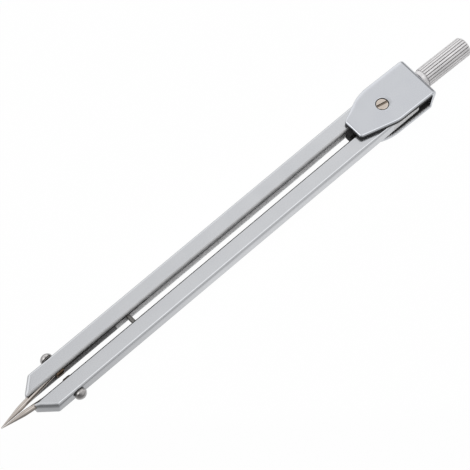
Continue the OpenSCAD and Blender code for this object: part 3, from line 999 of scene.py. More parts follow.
@dataclass
class SlottedHead:
    """Head of a screw with a slot across it.

    Attributes:
        radius: radius of the head.
        top: height of its middle.
        dome: radius of its dome, or 0 for a flat head.
        edge: radius of a flat head's edge.
        slot: width of the slot.
        floor: height of the slot's floor.
        foot: height of the head's underside.
        chords: number of chords on each side of the slot.
    """

    radius: float
    top: float
    dome: float
    edge: float
    slot: float
    floor: float
    foot: float
    chords: int = 14
    chord_points: int = 33

    def height(self, distance: np.ndarray) -> np.ndarray:
        """Height of the head at a distance from its axis: a sphere's cap, or a flat with a quarter round.

        Args:
            distance: distances from the axis.

        Returns:
            Heights above the head's own zero.
        """
        if self.dome:
            return self.top - self.dome + np.sqrt(np.maximum(self.dome**2 - distance**2, 0.0))
        past = np.maximum(distance - self.radius + self.edge, 0.0)
        return self.top - self.edge + np.sqrt(np.maximum(self.edge**2 - past**2, 0.0))

    def part(self) -> Part:
        """Rows of chords across the slot: p = sqrt(R^2 - q^2) * t, with two rows at each wall of the slot.

        Returns:
            The head, its side and its underside, with the slot along the first axis.
        """
        half = self.slot / 2
        beyond = half + (self.radius - half) * np.sin(np.linspace(0.0, QUARTER, self.chords))
        across = np.concatenate([-beyond[::-1], [-half, 0.0, half], beyond])
        sunk = np.zeros(len(across), bool)
        sunk[self.chords:-self.chords] = True
        share = np.sin(np.linspace(-QUARTER, QUARTER, self.chord_points))
        q = np.broadcast_to(across[:, None], (len(across), len(share)))
        p = np.sqrt(np.maximum(self.radius**2 - q**2, 0.0)) * share
        z = self.height(np.hypot(p, q))
        z = np.where(sunk[:, None], np.minimum(z, self.floor), z)
        top = np.stack([p, q, z], axis=-1)
        rim = np.concatenate([top[:, -1], top[::-1, 0]])
        under = rim * (1.0, 1.0, 0.0) + (0.0, 0.0, self.foot)
        middle = under * (0.0, 0.0, 1.0)
        # The slot's faces take the screw's second material: painted shade on the pivot screw, a painted highlight
        # on the clamp screws.
        slot = np.where(sunk[:-1] | sunk[1:], Lining.INSIDE, Lining.SKIN)[:, None]
        return Part().grid(top, lining=slot).grid(np.stack([rim, under, middle]), wrap=True)


@dataclass
class SubAssembly:
    """What every sub-assembly builds from.

    Attributes:
        layout: places from the frame.
        finisher: gives the finishes.
    """

    layout: Layout
    finisher: Finisher

    def piece(
        self, names: tuple[str, str, str], parts: list[Part], seat: Seat, *finishes: Finishes
    ) -> None:
        """Makes a piece and dresses it.

        Args:
            names: names of the piece, of the body that it rides on and of the CAD node that it replaces.
            parts: its closed surfaces.
            seat: place of their axes.
            finishes: its finish, and those of its linings, which are painted light and painted shade.
        """
        name, body, node = names
        piece = make_piece(name, parts, seat)
        self.finisher.dress(piece, finishes[0], body, node)
        self.finisher.line(piece, *finishes[1:])


@dataclass(frozen=True)
class Shoulder:
    """Where a cheek's side turns in towards the foot.

    Attributes:
        rise: height of the arc's start above the pivot.
        radius: radius of the arc.
        turn: angle that the side turns by.
    """

    rise: float
    radius: float
    turn: float


@dataclass
class Yoke(SubAssembly):
    """Folded yoke: two tapering cheeks with coined edges, joined by the crown.

    Attributes:
        rise: distance from the pivot up to the crown's top.
        drop: distance from the pivot down to the foot.
        crown_slant: lengths that the crown loses towards its rear, all along it and besides at its ends.
        crown_swell: thickness that the crown's ends gain.
        crown_ends: shares of half where the crown's ends start and over which they grow.
        front_right: shoulder of the front cheek's right side; the other three sides have shoulder.
        front_rim: radii of the front cheek's outer rim, along the face and into the sheet.
        narrow_rim: the most that the first of them is round the foot and on the right.
        narrow: shares of drop where the rim starts to narrow and over which it does.
        recess_lip: width of the recess's broken edge.
        lip_bend: share of that width at which the broken edge bends.
        face_rows: shares of the way from the rim to the recess at which the outer face has rows.
        inside_rows: shares of the way from the inner rim to the hole at which the inner face has rows.
    """

    sheet: float = 1.0
    half: float = 6.9
    rise: float = 14.4
    drop: float = 11.5
    crown_r: float = 1.8
    crown_edge: float = 0.45
    crown_slant: tuple[float, float] = (0.45, 0.65)
    crown_swell: float = 0.5
    crown_ends: tuple[float, float] = (0.5, 0.45)
    shoulder: Shoulder = Shoulder(0.3, 14.0, math.radians(25.0))
    front_right: Shoulder = Shoulder(1.35, 9.0, math.radians(15.0))
    foot_r: float = 0.9
    front_rim: tuple[float, float] = (1.5, 0.42)
    narrow_rim: float = 0.6
    narrow: tuple[float, float] = (0.55, 0.3)
    rear_rim: tuple[float, float] = (0.15, 0.15)
    inner_rim: float = 0.1
    recess_r: float = 1.94
    recess_depth: float = 0.6
    recess_lip: float = 0.06
    lip_bend: float = 0.3
    shank_hole: float = 1.15
    boss_hole: float = 1.52
    across: int = 25
    face_rows: tuple[float, ...] = (0.0, 0.04, 0.3, 0.6, 0.9)
    inside_rows: tuple[float, ...] = (0.7, 0.4, 0.05, 0.0)
    side_points: int = 6
    bend_points: int = 12
    foot_points: int = 9

    def half_side(self, shoulder: Shoulder) -> tuple[np.ndarray, np.ndarray]:
        """Left half of the outline: straight side, shoulder arc, taper, foot arc and lower edge.

        Args:
            shoulder: how the side turns in.

        Returns:
            Points and outward normals, from the crown's end down to the middle of the foot.
        """
        start, middle = (self.rise - self.crown_r, self.half), (-self.drop, 0.0)
        foot_u = self.foot_r - self.drop
        cos, sin = math.cos(shoulder.turn), math.sin(shoulder.turn)
        reach = cos * (self.half - shoulder.radius) - sin * shoulder.rise + shoulder.radius
        foot_v = (reach - self.foot_r + sin * foot_u) / cos
        angles = (
            np.zeros(1 + self.side_points),
            np.linspace(0.0, shoulder.turn, self.bend_points),
            np.full(self.side_points, shoulder.turn),
            np.linspace(shoulder.turn, QUARTER, self.foot_points),
            np.full(self.side_points // 2 + 1, QUARTER),
        )
        normals = [np.stack([-np.sin(angle), np.cos(angle)], axis=-1) for angle in angles]
        bend = np.array([shoulder.rise, self.half - shoulder.radius]) + shoulder.radius * normals[1]
        foot = np.array([foot_u, foot_v]) + self.foot_r * normals[3]
        points = np.concatenate([
            [start],
            line(start, bend[0], self.side_points),
            bend,
            line(bend[-1], foot[0], self.side_points),
            foot,
            line(foot[-1], middle, self.side_points // 2),
            [middle],
        ])
        return points, np.concatenate(normals)

    def side(self, right: Shoulder) -> tuple[np.ndarray, np.ndarray]:
        """Outline below the crown: the left half, and the right one mirrored back up.

        Args:
            right: how the right side turns in.

        Returns:
            Points and outward normals, from the crown's left end round to its right one.
        """
        mirror = np.array([1.0, -1.0])
        halves = zip(self.half_side(self.shoulder), self.half_side(right))
        points, normal = (np.concatenate([left, other[-2::-1] * mirror]) for left, other in halves)
        return points, normal

    def fold_row(self, rim: float) -> np.ndarray:
        """Points across the fold line, from right to left, short of the left edge by the rim."""
        across = np.linspace(min(rim, self.narrow_rim) - self.half, self.half - rim, self.across)
        return np.column_stack([np.full(self.across, self.rise - self.crown_r), across])

    def cheek(self, part: Part, face: float, down: float, hole: float, rim: tuple[float, float]) -> None:
        """Adds a cheek: its side wall, and a skin from the outer rim to the recess, the hole and inside.

        Args:
            part: part that the cheek goes into.
            face: height of its outer face.
            down: direction from there into the sheet, 1 or -1.
            hole: radius of the hole through it.
            rim: radii of its outer edge, the first no more than narrow_rim round the foot and on the right.
        """
        side, normal = self.side(self.front_right if down < 0 else self.shoulder)
        edge = edge_profile(self.sheet, rim, self.inner_rim)
        start, over = self.narrow
        near_foot = np.clip((-side[:, 0] - start * self.drop) / (over * self.drop), 0.0, 1.0)
        narrow = np.where(side[:, 1] < 0, 1.0, near_foot)
        share = 1 + narrow * (min(self.narrow_rim / rim[0], 1.0) - 1)
        inset = np.where(edge[:, 1] < rim[1], edge[:, 0] * share[:, None], edge[:, 0])
        wall = side[:, None] - inset[..., None] * normal[:, None]
        depth = np.broadcast_to(edge[None, :, 1], wall.shape[:2])
        # The front cheek's side wall below its rim gets painted shade.
        painted_shade_wall = (edge[1:, 1] > rim[1]) & (rim[1] > self.rear_rim[1])
        part.grid(np.dstack([wall, face + down * depth]), lining=np.where(painted_shade_wall, Lining.EDGE, Lining.SKIN))
        outer = np.concatenate([self.fold_row(rim[0]), wall[1:-1, 0]])
        inner = np.concatenate([self.fold_row(self.inner_rim), wall[1:-1, -1]])
        spoke = outer / np.linalg.norm(outer, axis=1, keepdims=True)
        lip, bend, inside = self.recess_lip, self.lip_bend * self.recess_lip, face + down * self.sheet
        profile = [
            (self.recess_r + lip, 0.0), (self.recess_r + bend, bend), (self.recess_r, lip),
            (self.recess_r, self.recess_depth), (hole, self.recess_depth), (hole, self.sheet),
        ]
        recess = profile[0][0]
        rows = [raised((1 - share) * outer + share * recess * spoke, face) for share in self.face_rows]
        rows += [raised(radius * spoke, face + down * sunk) for radius, sunk in profile]
        rows += [raised((1 - share) * inner + share * hole * spoke, inside) for share in self.inside_rows]
        # The recess's wall and floor and the hole's wall get painted shade, the inner face painted light.
        counts = [len(self.face_rows) + 2, 3, len(self.inside_rows)]
        lining = np.repeat([Lining.SKIN, Lining.EDGE, Lining.INSIDE], counts)
        part.grid(np.stack(rows), wrap=True, lining=lining[:, None])

    def crown_rim(self, bend: float, most: float) -> np.ndarray:
        """Rim of the crown's end.

        Args:
            bend: angle that the fold has turned through.
            most: the most that the rim's radius along the face is at the fold's start.

        Returns:
            Array of (distance from the crown's middle, depth below its outer skin).
        """
        along, into = self.front_rim if bend < QUARTER else self.rear_rim
        rim = np.array([min(along, most), into])
        radii = rim + (self.crown_edge - rim) * math.sin(bend)
        return edge_profile(self.sheet, tuple(radii), self.inner_rim) * (-1.0, 1.0) + (self.half, 0.0)

    def crown(self, part: Part) -> None:
        """Adds the crown: a section across it carried round both folds, slanting back, thicker at its ends.

        Args:
            part: part that the crown goes into.
        """
        fold, mirror = self.rise - self.crown_r, (-1.0, 1.0)
        turn = np.linspace(0.0, QUARTER, FOLD_POINTS)
        front, rear = self.layout.yoke_h - self.crown_r, self.crown_r
        between = np.linspace(front, rear, END_POINTS)[1:-1]
        angle = np.concatenate([turn, np.full(len(between), QUARTER), QUARTER + turn])
        centre = np.concatenate([np.full(len(turn), front), between, np.full(len(turn), rear)])
        start, over = self.crown_ends
        loops = []
        for bend, level in zip(angle, centre):
            left, right = (self.crown_rim(bend, most) for most in (math.inf, self.narrow_rim))
            outer_skin = raised(np.linspace(-right[0, 0], left[0, 0], self.across), 0.0)
            inner_skin = np.linspace(left[-1], right[-1] * mirror, self.across)
            loop = np.concatenate([outer_skin, left[1:-1], inner_skin, (right[1:-1] * mirror)[::-1]])
            radius, deep = self.crown_r - loop[:, 1], loop[:, 1] / self.sheet
            aside = np.clip((np.abs(loop[:, 0]) - start * self.half) / (over * self.half), 0.0, 1.0) ** 2
            share = (front - level) / (front - rear)
            outwards = share * (self.crown_slant[0] + self.crown_slant[1] * aside)
            inwards = aside * (self.crown_swell + self.crown_slant[1] * share)
            slant = (1 - deep) * outwards + deep * inwards
            loops.append(np.column_stack([
                fold + (radius - slant) * math.sin(bend), loop[:, 0], level + radius * math.cos(bend),
            ]))
        part.grid(np.stack(loops), wrap=True)

    def build(self) -> None:
        """Builds and dresses the yoke."""
        part = Part()
        self.cheek(part, self.layout.yoke_h, -1.0, self.shank_hole, self.front_rim)
        self.cheek(part, 0.0, 1.0, self.boss_hole, self.rear_rim)
        self.crown(part)
        # Painted light on the cheeks' inner faces, painted shade on the recesses and the front cheek's lower wall.
        finishes = (Finishes.YOKE_PLATE, Finishes.PAINTED_LIGHT, Finishes.DARK_PAINTED_SHADE)
        self.piece(("yoke_shell", "head", "head_yoke"), [part], self.layout.head_seat(), *finishes)


@dataclass
class Handle(SubAssembly):
    """Turned handle with straight knurling, its tenon peened over inside the crown.

    Attributes:
        relief_l: width of the ring turned in between collar and knurling.
        groove_at: points across a groove, from its middle out, as shares of half its width.
        land_at: first and last point on the land between two grooves, as shares of the pitch.
        ease: width of the eased edge beside a groove, as a share of half its width.
    """

    yoke: Yoke
    length: float = 17.6
    radius: float = 3.0
    collar_r: float = 2.75
    collar_l: float = 1.2
    relief_l: float = 0.22
    relief_depth: float = 0.12
    chamfer: float = 0.7
    grooves: int = 22
    groove_half: float = 0.13
    groove_depth: float = 0.22
    groove_at: tuple[float, ...] = (0.0, 0.35, 0.7, 1.0, 1.25)
    land_at: tuple[float, float] = (0.28, 0.72)
    land_points: int = 5
    ease: float = 0.6
    ease_depth: float = 0.02
    tenon_r: float = 1.3
    peen_r: float = 1.6
    peen_h: float = 0.6
    washer_t: float = 0.5

    def __post_init__(self) -> None:
        """Works out where the relief ring and the knurling start."""
        self.relief = self.yoke.rise + self.collar_l
        self.knurl = self.relief + self.relief_l

    def profile(self) -> np.ndarray:
        """Turned outline from the peened end to the handle's end.

        Returns:
            Array of (u, radius).
        """
        crown = self.yoke.rise
        washer = crown - self.yoke.sheet - self.washer_t
        neck = self.collar_r - self.relief_depth
        end = crown + self.length
        corners = [
            (washer - self.peen_h, 0.0), (washer - self.peen_h, self.peen_r), (washer, self.peen_r),
            (washer, self.tenon_r), (crown, self.tenon_r), (crown, self.collar_r),
            (self.relief, self.collar_r), (self.relief, neck), (self.knurl, neck),
            (self.knurl, self.radius), (end - self.chamfer, self.radius),
            (end, self.radius - self.chamfer), (end, 0.0),
        ]
        return rounded(corners, [0, 0.4, 0.05, 0, 0, 0.12, 0.05, 0.03, 0.03, 0.15, 0.3, 0.25, 0])

    def build(self) -> None:
        """Turns the profile and presses grooves in: radius = lesser of the turned one and the groove's."""
        profile = self.profile()
        pitch = 2 * math.pi * self.radius / self.grooves
        width = self.groove_half / pitch
        share = np.array(self.groove_at) * width
        steps = np.concatenate([share, np.linspace(*self.land_at, self.land_points), 1 - share[:0:-1]])
        count = (np.arange(self.grooves)[:, None] + steps).ravel()
        angle = 2 * math.pi * count / self.grooves
        away = np.abs((count + 0.5) % 1.0 - 0.5) / width
        floor = self.radius - self.groove_depth * np.clip(1 - away, 0.0, 1.0)
        eased = self.ease_depth * np.clip(1 + self.ease - away, 0.0, self.ease) / self.ease
        radius = np.minimum(profile[:, 1:], floor - eased)
        u = np.broadcast_to(profile[:, :1], radius.shape)
        z = self.layout.yoke_h / 2 + radius * np.sin(angle)
        # Faces in the knurling's grooves get painted shade.
        sunk = np.maximum(away, np.roll(away, -1)) < (1 + self.groove_at[-1]) / 2
        lining = np.where(sunk & (profile[:-1, :1] > self.knurl), Lining.INSIDE, Lining.SKIN)
        part = Part().grid(np.stack([u, radius * np.cos(angle), z], axis=-1), wrap=True, lining=lining)
        finishes = (Finishes.KNURL_PLATE, Finishes.GROOVE_PAINTED_SHADE)
        self.piece(("knurled_grip", "head", "handle_grip"), [part], self.layout.head_seat(), *finishes)
        self.finisher.paint("handle_washer", Finishes.NICKEL_SILVER)


@dataclass
class Pivot(SubAssembly):
    """Slotted pivot screw with its nut, and the bush that the legs turn on."""

    yoke: Yoke
    head_r: float = 1.8
    shank_r: float = 1.0
    slip: float = 0.05
    slot_w: float = 0.75
    slot_turn: float = math.radians(-11.0)
    edge: float = 0.34
    turns: int = 40

    def build(self) -> None:
        """Builds the screw, and paints the nut, the bush and the spring washer."""
        top, recess = self.layout.yoke_h, self.yoke.recess_depth
        foot = top - recess + self.slip
        head = SlottedHead(self.head_r, top, 0.0, self.edge, self.slot_w, top - recess / 2, foot).part()
        end, seat = recess / 2, foot + self.slip
        profile = rounded(
            [(end, 0.0), (end, self.shank_r), (seat, self.shank_r), (seat, 0.0)], [0, 0.15, 0, 0],
        )
        shank = Part().grid(lathe(profile, self.turns), wrap=True)
        turned = Seat(self.layout.pivot, self.layout.lean + self.slot_turn)
        names = ("pivot_screw_slotted", "pivot_screw", "pivot_screw")
        # The slot gets painted shade.
        self.piece(names, [head, shank], turned, Finishes.NICKEL_SILVER, Finishes.SLOT_PAINTED_SHADE)
        self.finisher.paint("pivot_nut", Finishes.NICKEL_SILVER)
        self.finisher.paint("pivot_bush", Finishes.NICKEL_SILVER)
        self.finisher.paint("spring_washer", Finishes.DARK_STEEL)


@dataclass
class FrictionPack(SubAssembly):
    """Black liners under the cheeks and the black core between the legs' lugs.

    Attributes:
        front_inset: distance of the front liner's edge inside the cheek's.
        core_z: distance of the disc's faces inside the legs' faces.
        tail_z: the same distance for the core's tail.
        core_show: how far the tail shows below the yoke.
        neck_start: distance below the pivot where the neck between disc and tail starts.
        neck_in: how far the neck goes into the tail.
    """

    yoke: Yoke
    front_inset: float = 0.03
    rear_inset: float = 0.3
    top_points: int = 12
    bush_hole: float = 1.62
    lip: float = 0.05
    core_r: float = 5.35
    core_z: float = 1.1
    tail_z: float = 0.3
    tail_start: float = 5.8
    tail_half: float = 0.945
    tail_edge: float = 0.15
    core_show: float = 1.2
    neck_start: float = 2.0
    neck_in: float = 1.0

    def outline(self, inset: float, right: Shoulder) -> np.ndarray:
        """Outline of a liner: the cheek's, moved in along its normals.

        Args:
            inset: distance that it is moved in by.
            right: how the cheek's right side turns in.

        Returns:
            Closed outline, anticlockwise.
        """
        side, normal = self.yoke.side(right)
        loop = side - inset * normal
        loop[[0, -1], 0] -= inset
        top = line(tuple(loop[-1]), tuple(loop[0]), self.top_points)
        return np.concatenate([loop, top])

    def liner(self, word: str, span: tuple[float, float], inset: float, right: Shoulder) -> None:
        """Builds one liner.

        Args:
            word: front or rear.
            span: heights of its faces.
            inset: distance of its edge inside the cheek's.
            right: how its right side turns in.
        """
        part = ring_plate(self.outline(inset, right), self.bush_hole, *span, self.lip)
        names = (f"{word}_liner_sheet", "head", f"{word}_friction_liner")
        self.piece(names, [part], self.layout.head_seat(), Finishes.FIBRE)

    def build(self) -> None:
        """Builds both liners and the core with its tail."""
        self.liner("front", self.layout.front_liner, self.front_inset, self.yoke.front_right)
        self.liner("rear", self.layout.rear_liner, self.rear_inset, self.yoke.shoulder)
        low, thick = self.layout.leg_z, self.layout.leg_t
        high, middle = low + thick, low + thick / 2
        faces = (low + self.core_z, high - self.core_z)
        plate = ring_plate(disc(self.core_r), self.bush_hole, *faces, self.lip)
        ends = (-self.tail_start - self.neck_in, -self.neck_start)
        neck = rounded_bar((self.tail_half, thick / 2 - self.core_z), ends, self.lip)
        ends = (-self.yoke.drop - self.core_show, -self.tail_start)
        tail = rounded_bar((self.tail_half, thick / 2 - self.tail_z), ends, self.tail_edge)
        bars = [Part().sweep(bar[..., [2, 0, 1]] + (0.0, 0.0, middle)) for bar in (neck, tail)]
        names = ("core_block", "head", "hinge_core")
        self.piece(names, [plate, *bars], self.layout.head_seat(), Finishes.PLASTIC)


@dataclass
class Leg(SubAssembly):
    """One leg: a channel folded from sheet, slanted at the toe, with flat lugs round the bush.

    The left leg's flanges step in below its lugs and only its outer wall runs on to the pivot. The right
    leg's channel runs on past the pivot, its flanges slanting off, and its lugs lie in the flanges.

    Attributes:
        bend: radii of the front fold, along the face and down the wall.
        sharp_bend: radii of the rear fold, and of the right leg's front fold past its lugs.
        sharp_over: length over which that front fold changes.
        inner_edge: distance of the free edges from the dividers' middle.
        toe_short: how much earlier the slant ends, measured across the leg, left and right.
        toe_round: length of the rounding on both sides of the toe's corner.
        toe_lead: length above the corner where the last straight station lies.
        plain_edge: radius of the left leg's lower free edge.
        lip_out: how far that edge stands out.
        lip_from: length below the pivot where it starts to, and length over which it does.
        dim_past: distance above the trough past which the deep flange has the edge's painted shade.
        edge_columns: columns of the upper edge's curl that have the edge's painted shade, left and right.
        lug_sink: how far the right lugs lie under the flanges' faces.
        lug_turn: angle that the left lugs' round goes through before it runs out to the wall.
        lug_points: numbers of points on the left lugs' round, before and after the step.
        wall_rise: how far the right leg's outer wall runs past the pivot.
        needle_way: radius that the toe's end leaves free round the needle.
        needle_back: the most that the end is moved back for that.
    """

    side: Side
    sheet: float = 0.5
    bend: tuple[float, float] = (0.85, 1.4)
    sharp_bend: tuple[float, float] = (0.55, 0.55)
    sharp_over: float = 4.0
    toe_bend: tuple[float, float] = (1.2, 1.2)
    inner_edge: float = 1.4
    toe_cut: float = 4.7
    toe_flat: float = 0.8
    toe_short: tuple[float, float] = (0.55, 0.25)
    toe_round: float = 0.3
    toe_lead: float = 4.0
    curl: float = 0.6
    plain_edge: float = 0.2
    lip_out: float = 0.2
    lip_from: float = 17.0
    dim_past: float = 13.0
    edge_columns: tuple[int, int] = (6, 5)
    slip: float = 0.05
    bush_hole: float = 1.65
    lug_clear: float = 0.4
    lug_lip: float = 0.07
    lug_sink: float = 0.012
    lug_turn: float = math.radians(100.0)
    lug_points: tuple[int, int] = (26, 60)
    wall_rise: float = 8.4
    wall_end: float = 1.6
    needle_way: float = 0.95
    needle_back: float = 2.0
    left_stations: int = 9
    wall_stations: int = 8
    right_stations: int = 10

    def __post_init__(self) -> None:
        """Works out the lugs' radius, where the channel ends, and the toe's corner, end and slant."""
        self.edge = self.layout.edge_out
        self.width = self.edge - self.inner_edge
        self.lug_r = self.edge - self.sheet - self.lug_clear
        self.step = self.lug_r + self.lug_clear
        self.low = self.layout.leg_z
        self.high = self.low + self.layout.leg_t
        self.trough_end = self.layout.box(f"{self.side.word}_needle_holder")[1][0] - self.layout.pivot
        self.corner = np.array([self.layout.toe + self.toe_cut, self.edge])
        tip = np.array([self.layout.toe, self.inner_edge + self.toe_flat])
        self.slant = (tip - self.corner) / np.linalg.norm(tip - self.corner)
        self.tip = tip + self.slant * self.side.pick(self.toe_short) / self.slant[1]

    def loop(self, depth: float, bend: tuple[float, float], u: float) -> np.ndarray:
        """Section of the leg's channel.

        Args:
            depth: distance from its back to its upper free edge.
            bend: radii of its front fold.
            u: length along the leg; the left leg's lower lip stands out only away from the hinge's core.

        Returns:
            Array of (distance from the back, height).
        """
        curl = min(self.curl, (depth - self.sheet) / 2)
        left = self.side is Side.LEFT
        lip = self.lip_out * left * float(np.clip(-u / self.lip_from - 1, 0.0, 1.0))
        depths = (depth, depth + lip)
        curls = (curl, min(curl, self.plain_edge) if left else curl)
        return channel_loop(depths, (bend, self.sharp_bend), self.sheet, self.low, self.high, curls)

    def upper_stations(self, last: float) -> list[tuple]:
        """Stations of the straight channel, from its upper end down to length last.

        Args:
            last: length of the last station.

        Returns:
            Back, free edge, depth and fold radii of each station.
        """
        bend, sharp = np.array(self.bend), np.array(self.sharp_bend)
        if self.side is Side.LEFT:
            straight = np.linspace(-self.step - self.sheet, self.trough_end, self.left_stations)
            lengths = np.append(straight, last)
            share = np.zeros(len(lengths))
        else:
            start = -self.inner_edge
            wall = np.linspace(self.wall_rise, start + self.slip, self.wall_stations)
            lengths = np.concatenate([wall, np.linspace(start, last, self.right_stations)])
            share = np.clip((lengths + self.lug_r) / self.sharp_over, 0.0, 1.0)
        narrow = self.width - self.bend[0] - self.sheet / 2
        slant = np.clip(lengths / self.wall_rise, 0.0, 1.0) * narrow
        bends = bend + share[:, None] * (sharp - bend)
        return [
            ((u, self.edge), (u, self.inner_edge + off), self.width - off, tuple(radii))
            for u, off, radii in zip(lengths, slant, bends)
        ]

    def stations(self) -> list[tuple]:
        """Stations of the whole channel: straight, round the toe's corner on a curve, and along its slant.

        Returns:
            Back, free edge, depth and fold radii of each station.
        """
        slant, corner, inner_v = self.slant, self.corner, self.inner_edge
        inward = np.array([-slant[1], slant[0]])
        mitre = corner[0] + self.width * math.tan(math.atan2(-slant[1], -slant[0]) / 2)
        before, after = corner + (self.toe_round, 0.0), corner + self.toe_round * slant
        half_way = inward + (0.0, -1.0)
        half_way = half_way / np.linalg.norm(half_way)
        curve, inner = 0.25 * before + 0.5 * corner + 0.25 * after, np.array([mitre, inner_v])
        middle_bend = tuple((first + last) / 2 for first, last in zip(self.bend, self.toe_bend))
        stations = self.upper_stations(mitre + self.toe_lead)
        stations.append((before, (mitre + self.toe_round, inner_v), self.width, self.bend))
        stations.append((curve, inner, float((inner - curve) @ half_way), middle_bend))
        for share in np.linspace(0.0, 1.0, END_POINTS):
            back = (1 - share) * after + share * self.tip
            edge = np.array([(1 - share) * (mitre - self.toe_round) + share * self.tip[0], inner_v])
            stations.append((back, edge, float((edge - back) @ inward), self.toe_bend))
        return stations

    def taper(self, section: np.ndarray) -> np.ndarray:
        """Cuts a section off above the line that the right leg's outer wall tapers along past its lugs.

        Args:
            section: array of points by (u, v, z).

        Returns:
            The section, its front flange folded into the top of the wall.
        """
        u, v, z = section.T
        past = np.maximum(u + self.inner_edge, 0.0)
        top = self.high - past * (self.layout.leg_t - self.wall_end) / (self.wall_rise + self.inner_edge)
        flange = (past > 0) & (z > (self.low + self.high) / 2)
        inside = self.edge - self.sheet
        return np.column_stack([u, np.where(flange, np.maximum(v, inside), v), np.minimum(z, top)])

    def lining(self, starts: np.ndarray, count: int) -> np.ndarray:
        """Linings of the channel's faces.

        Args:
            starts: lengths along the leg where the rows of faces start, as rows by 1.
            count: number of points in a section.

        Returns:
            Array of rows by count.
        """
        lining = channel_lining(count, TIP_POINTS + self.side.pick(self.edge_columns))
        if self.side is Side.RIGHT:
            # Past the pivot the right leg is painted light all over.
            lining = np.where(starts > -self.inner_edge, Lining.INSIDE, lining)
        # Far above the trough the deep flange, and from the trough's end to the toe the lower free edge, get the
        # edge's painted shade.
        past = starts - self.trough_end
        near = np.abs(np.arange(count) - count // 2) < TIP_POINTS + CURL_POINTS
        lining = np.where((past > self.dim_past) & (lining == Lining.DEEP), Lining.EDGE, lining)
        return np.where((past < self.slip) & near, Lining.EDGE, lining)

    def channel(self) -> Part:
        """Carries the channel's section down the leg, round the toe's corner and along its slant.

        Returns:
            The channel, its end hollowed for the needle.
        """
        stations = self.stations()
        sections = [
            channel_station(back, edge, self.loop(depth, radii, back[0]), depth)
            for back, edge, depth, radii in stations
        ]
        if self.side is Side.RIGHT:
            sections = [self.taper(section) for section in sections]
        sections[-1] = self.hollow(sections[-1])
        starts = np.array([[back[0]] for back, *_ in stations[:-1]])
        return Part().sweep(np.stack(sections), self.lining(starts, len(sections[0])))

    def hollow(self, section: np.ndarray) -> np.ndarray:
        """Moves the inner skin at the toe's end back up the slant until it clears the needle.

        Args:
            section: last section of the channel.

        Returns:
            The section with its inner skin moved.
        """
        slope, start, slant = math.tan(self.layout.needle_tilt), self.layout.tip, self.slant
        axis = start[1] + (section[:, 0] - start[0]) * slope
        aside = section[:, 2] - (self.low + self.high) / 2
        reach = np.sqrt(np.maximum(self.needle_way**2 - aside**2, 0.0))
        short = np.maximum(axis + reach - section[:, 1], 0.0)
        inner = np.arange(len(section)) >= len(section) // 2
        rise = -slant[1] / -slant[0] - slope
        back = np.where(inner & (reach > 0), np.minimum(short / rise, self.needle_back), 0.0)
        moved = section.copy()
        moved[:, :2] -= (back / -slant[0])[:, None] * slant
        return moved

    def lug_outline(self) -> np.ndarray:
        """Outline of a left lug: a round about the bush that runs out to the channel's width at the step.

        Returns:
            Closed outline, anticlockwise.
        """
        back, outer = -self.step - self.sheet, self.edge - self.sheet
        meet = math.pi - math.asin(self.inner_edge / self.lug_r)
        first, last = self.lug_points
        shoulder = arc((0.0, 0.0), self.lug_r, 0.0, self.lug_turn, first)
        return np.concatenate([
            shoulder,
            line(shoulder[-1], (back, outer), LINE_POINTS),
            [(back, outer)],
            line((back, outer), (back, self.inner_edge), LINE_POINTS),
            [(back, self.inner_edge)],
            arc((0.0, 0.0), self.lug_r, meet, 2 * math.pi, last)[:-1],
        ])

    def strip(self, skin: np.ndarray, inside: np.ndarray, ends: tuple[float, float]) -> Part:
        """Carries a section between an outer skin and the line inside it along the leg.

        Args:
            skin: (distance from the back, height) of the outer skin.
            inside: the points opposite.
            ends: lengths where it starts and ends.

        Returns:
            The strip as a part.
        """
        loop = np.concatenate([skin, inside[::-1]])
        stations = [
            np.column_stack([np.full(len(loop), u), self.edge - loop[:, 0], loop[:, 1]]) for u in ends
        ]
        return Part().sweep(np.stack(stations))

    def left_head(self) -> list[Part]:
        """Head of the left leg: lugs that step in between the right leg's, their risers and the outer wall.

        Returns:
            The wall, then a lug and its riser in front and at the rear.
        """
        deep, end = 2 * self.sheet + self.slip, -self.step - self.sheet
        folds, rests = [], []
        for bend in (self.sharp_bend, self.bend):
            turn = math.acos((bend[0] - self.sheet) / bend[0])
            folds.append((arc((1.0, 1.0), 1.0, -math.pi, -math.pi + turn, RIM_POINTS) * bend)[::-1])
            rests.append(arc((1.0, 1.0), 1.0, -math.pi + turn, -QUARTER, RIM_POINTS) * bend)
        upper = (folds[1] * (1.0, -1.0) + (0.0, self.high - self.low))[::-1]
        wall = np.concatenate([folds[0], upper]) + (0.0, self.low)
        inner_wall = np.column_stack([np.full(len(wall), self.sheet), wall[:, 1]])
        parts = [self.strip(wall, inner_wall, (end, 0.0))]
        for front in (True, False):
            face = np.concatenate([rests[front], [(self.width, 0.0)]])
            level = self.high - deep if front else self.low + deep - self.sheet
            plate = ring_plate(self.lug_outline(), self.bush_hole, level, level + self.sheet, self.lug_lip)
            flip = np.array([1.0, -1.0 if front else 1.0])
            base = (0.0, self.high if front else self.low)
            inside = raised(face[:, 0], deep)
            parts += [plate, self.strip(face * flip + base, inside * flip + base, (end, end + self.sheet))]
        return parts

    def right_head(self) -> list[Part]:
        """Head of the right leg.

        Returns:
            Round lugs, which lie in its flanges.
        """
        spans = [(self.low, self.low + self.sheet), (self.high - self.sheet, self.high)]
        spans = [(low + self.lug_sink, high - self.lug_sink) for low, high in spans]
        return [ring_plate(disc(self.lug_r), self.bush_hole, *span, self.lug_lip) for span in spans]

    def build(self) -> None:
        """Builds and dresses the leg: painted light inside its channel and on its lower lip, painted shade on its
        edges and deep in the channel.
        """
        head = self.left_head() if self.side is Side.LEFT else self.right_head()
        names = self.side.names("leg_channel", "arm", "leg")
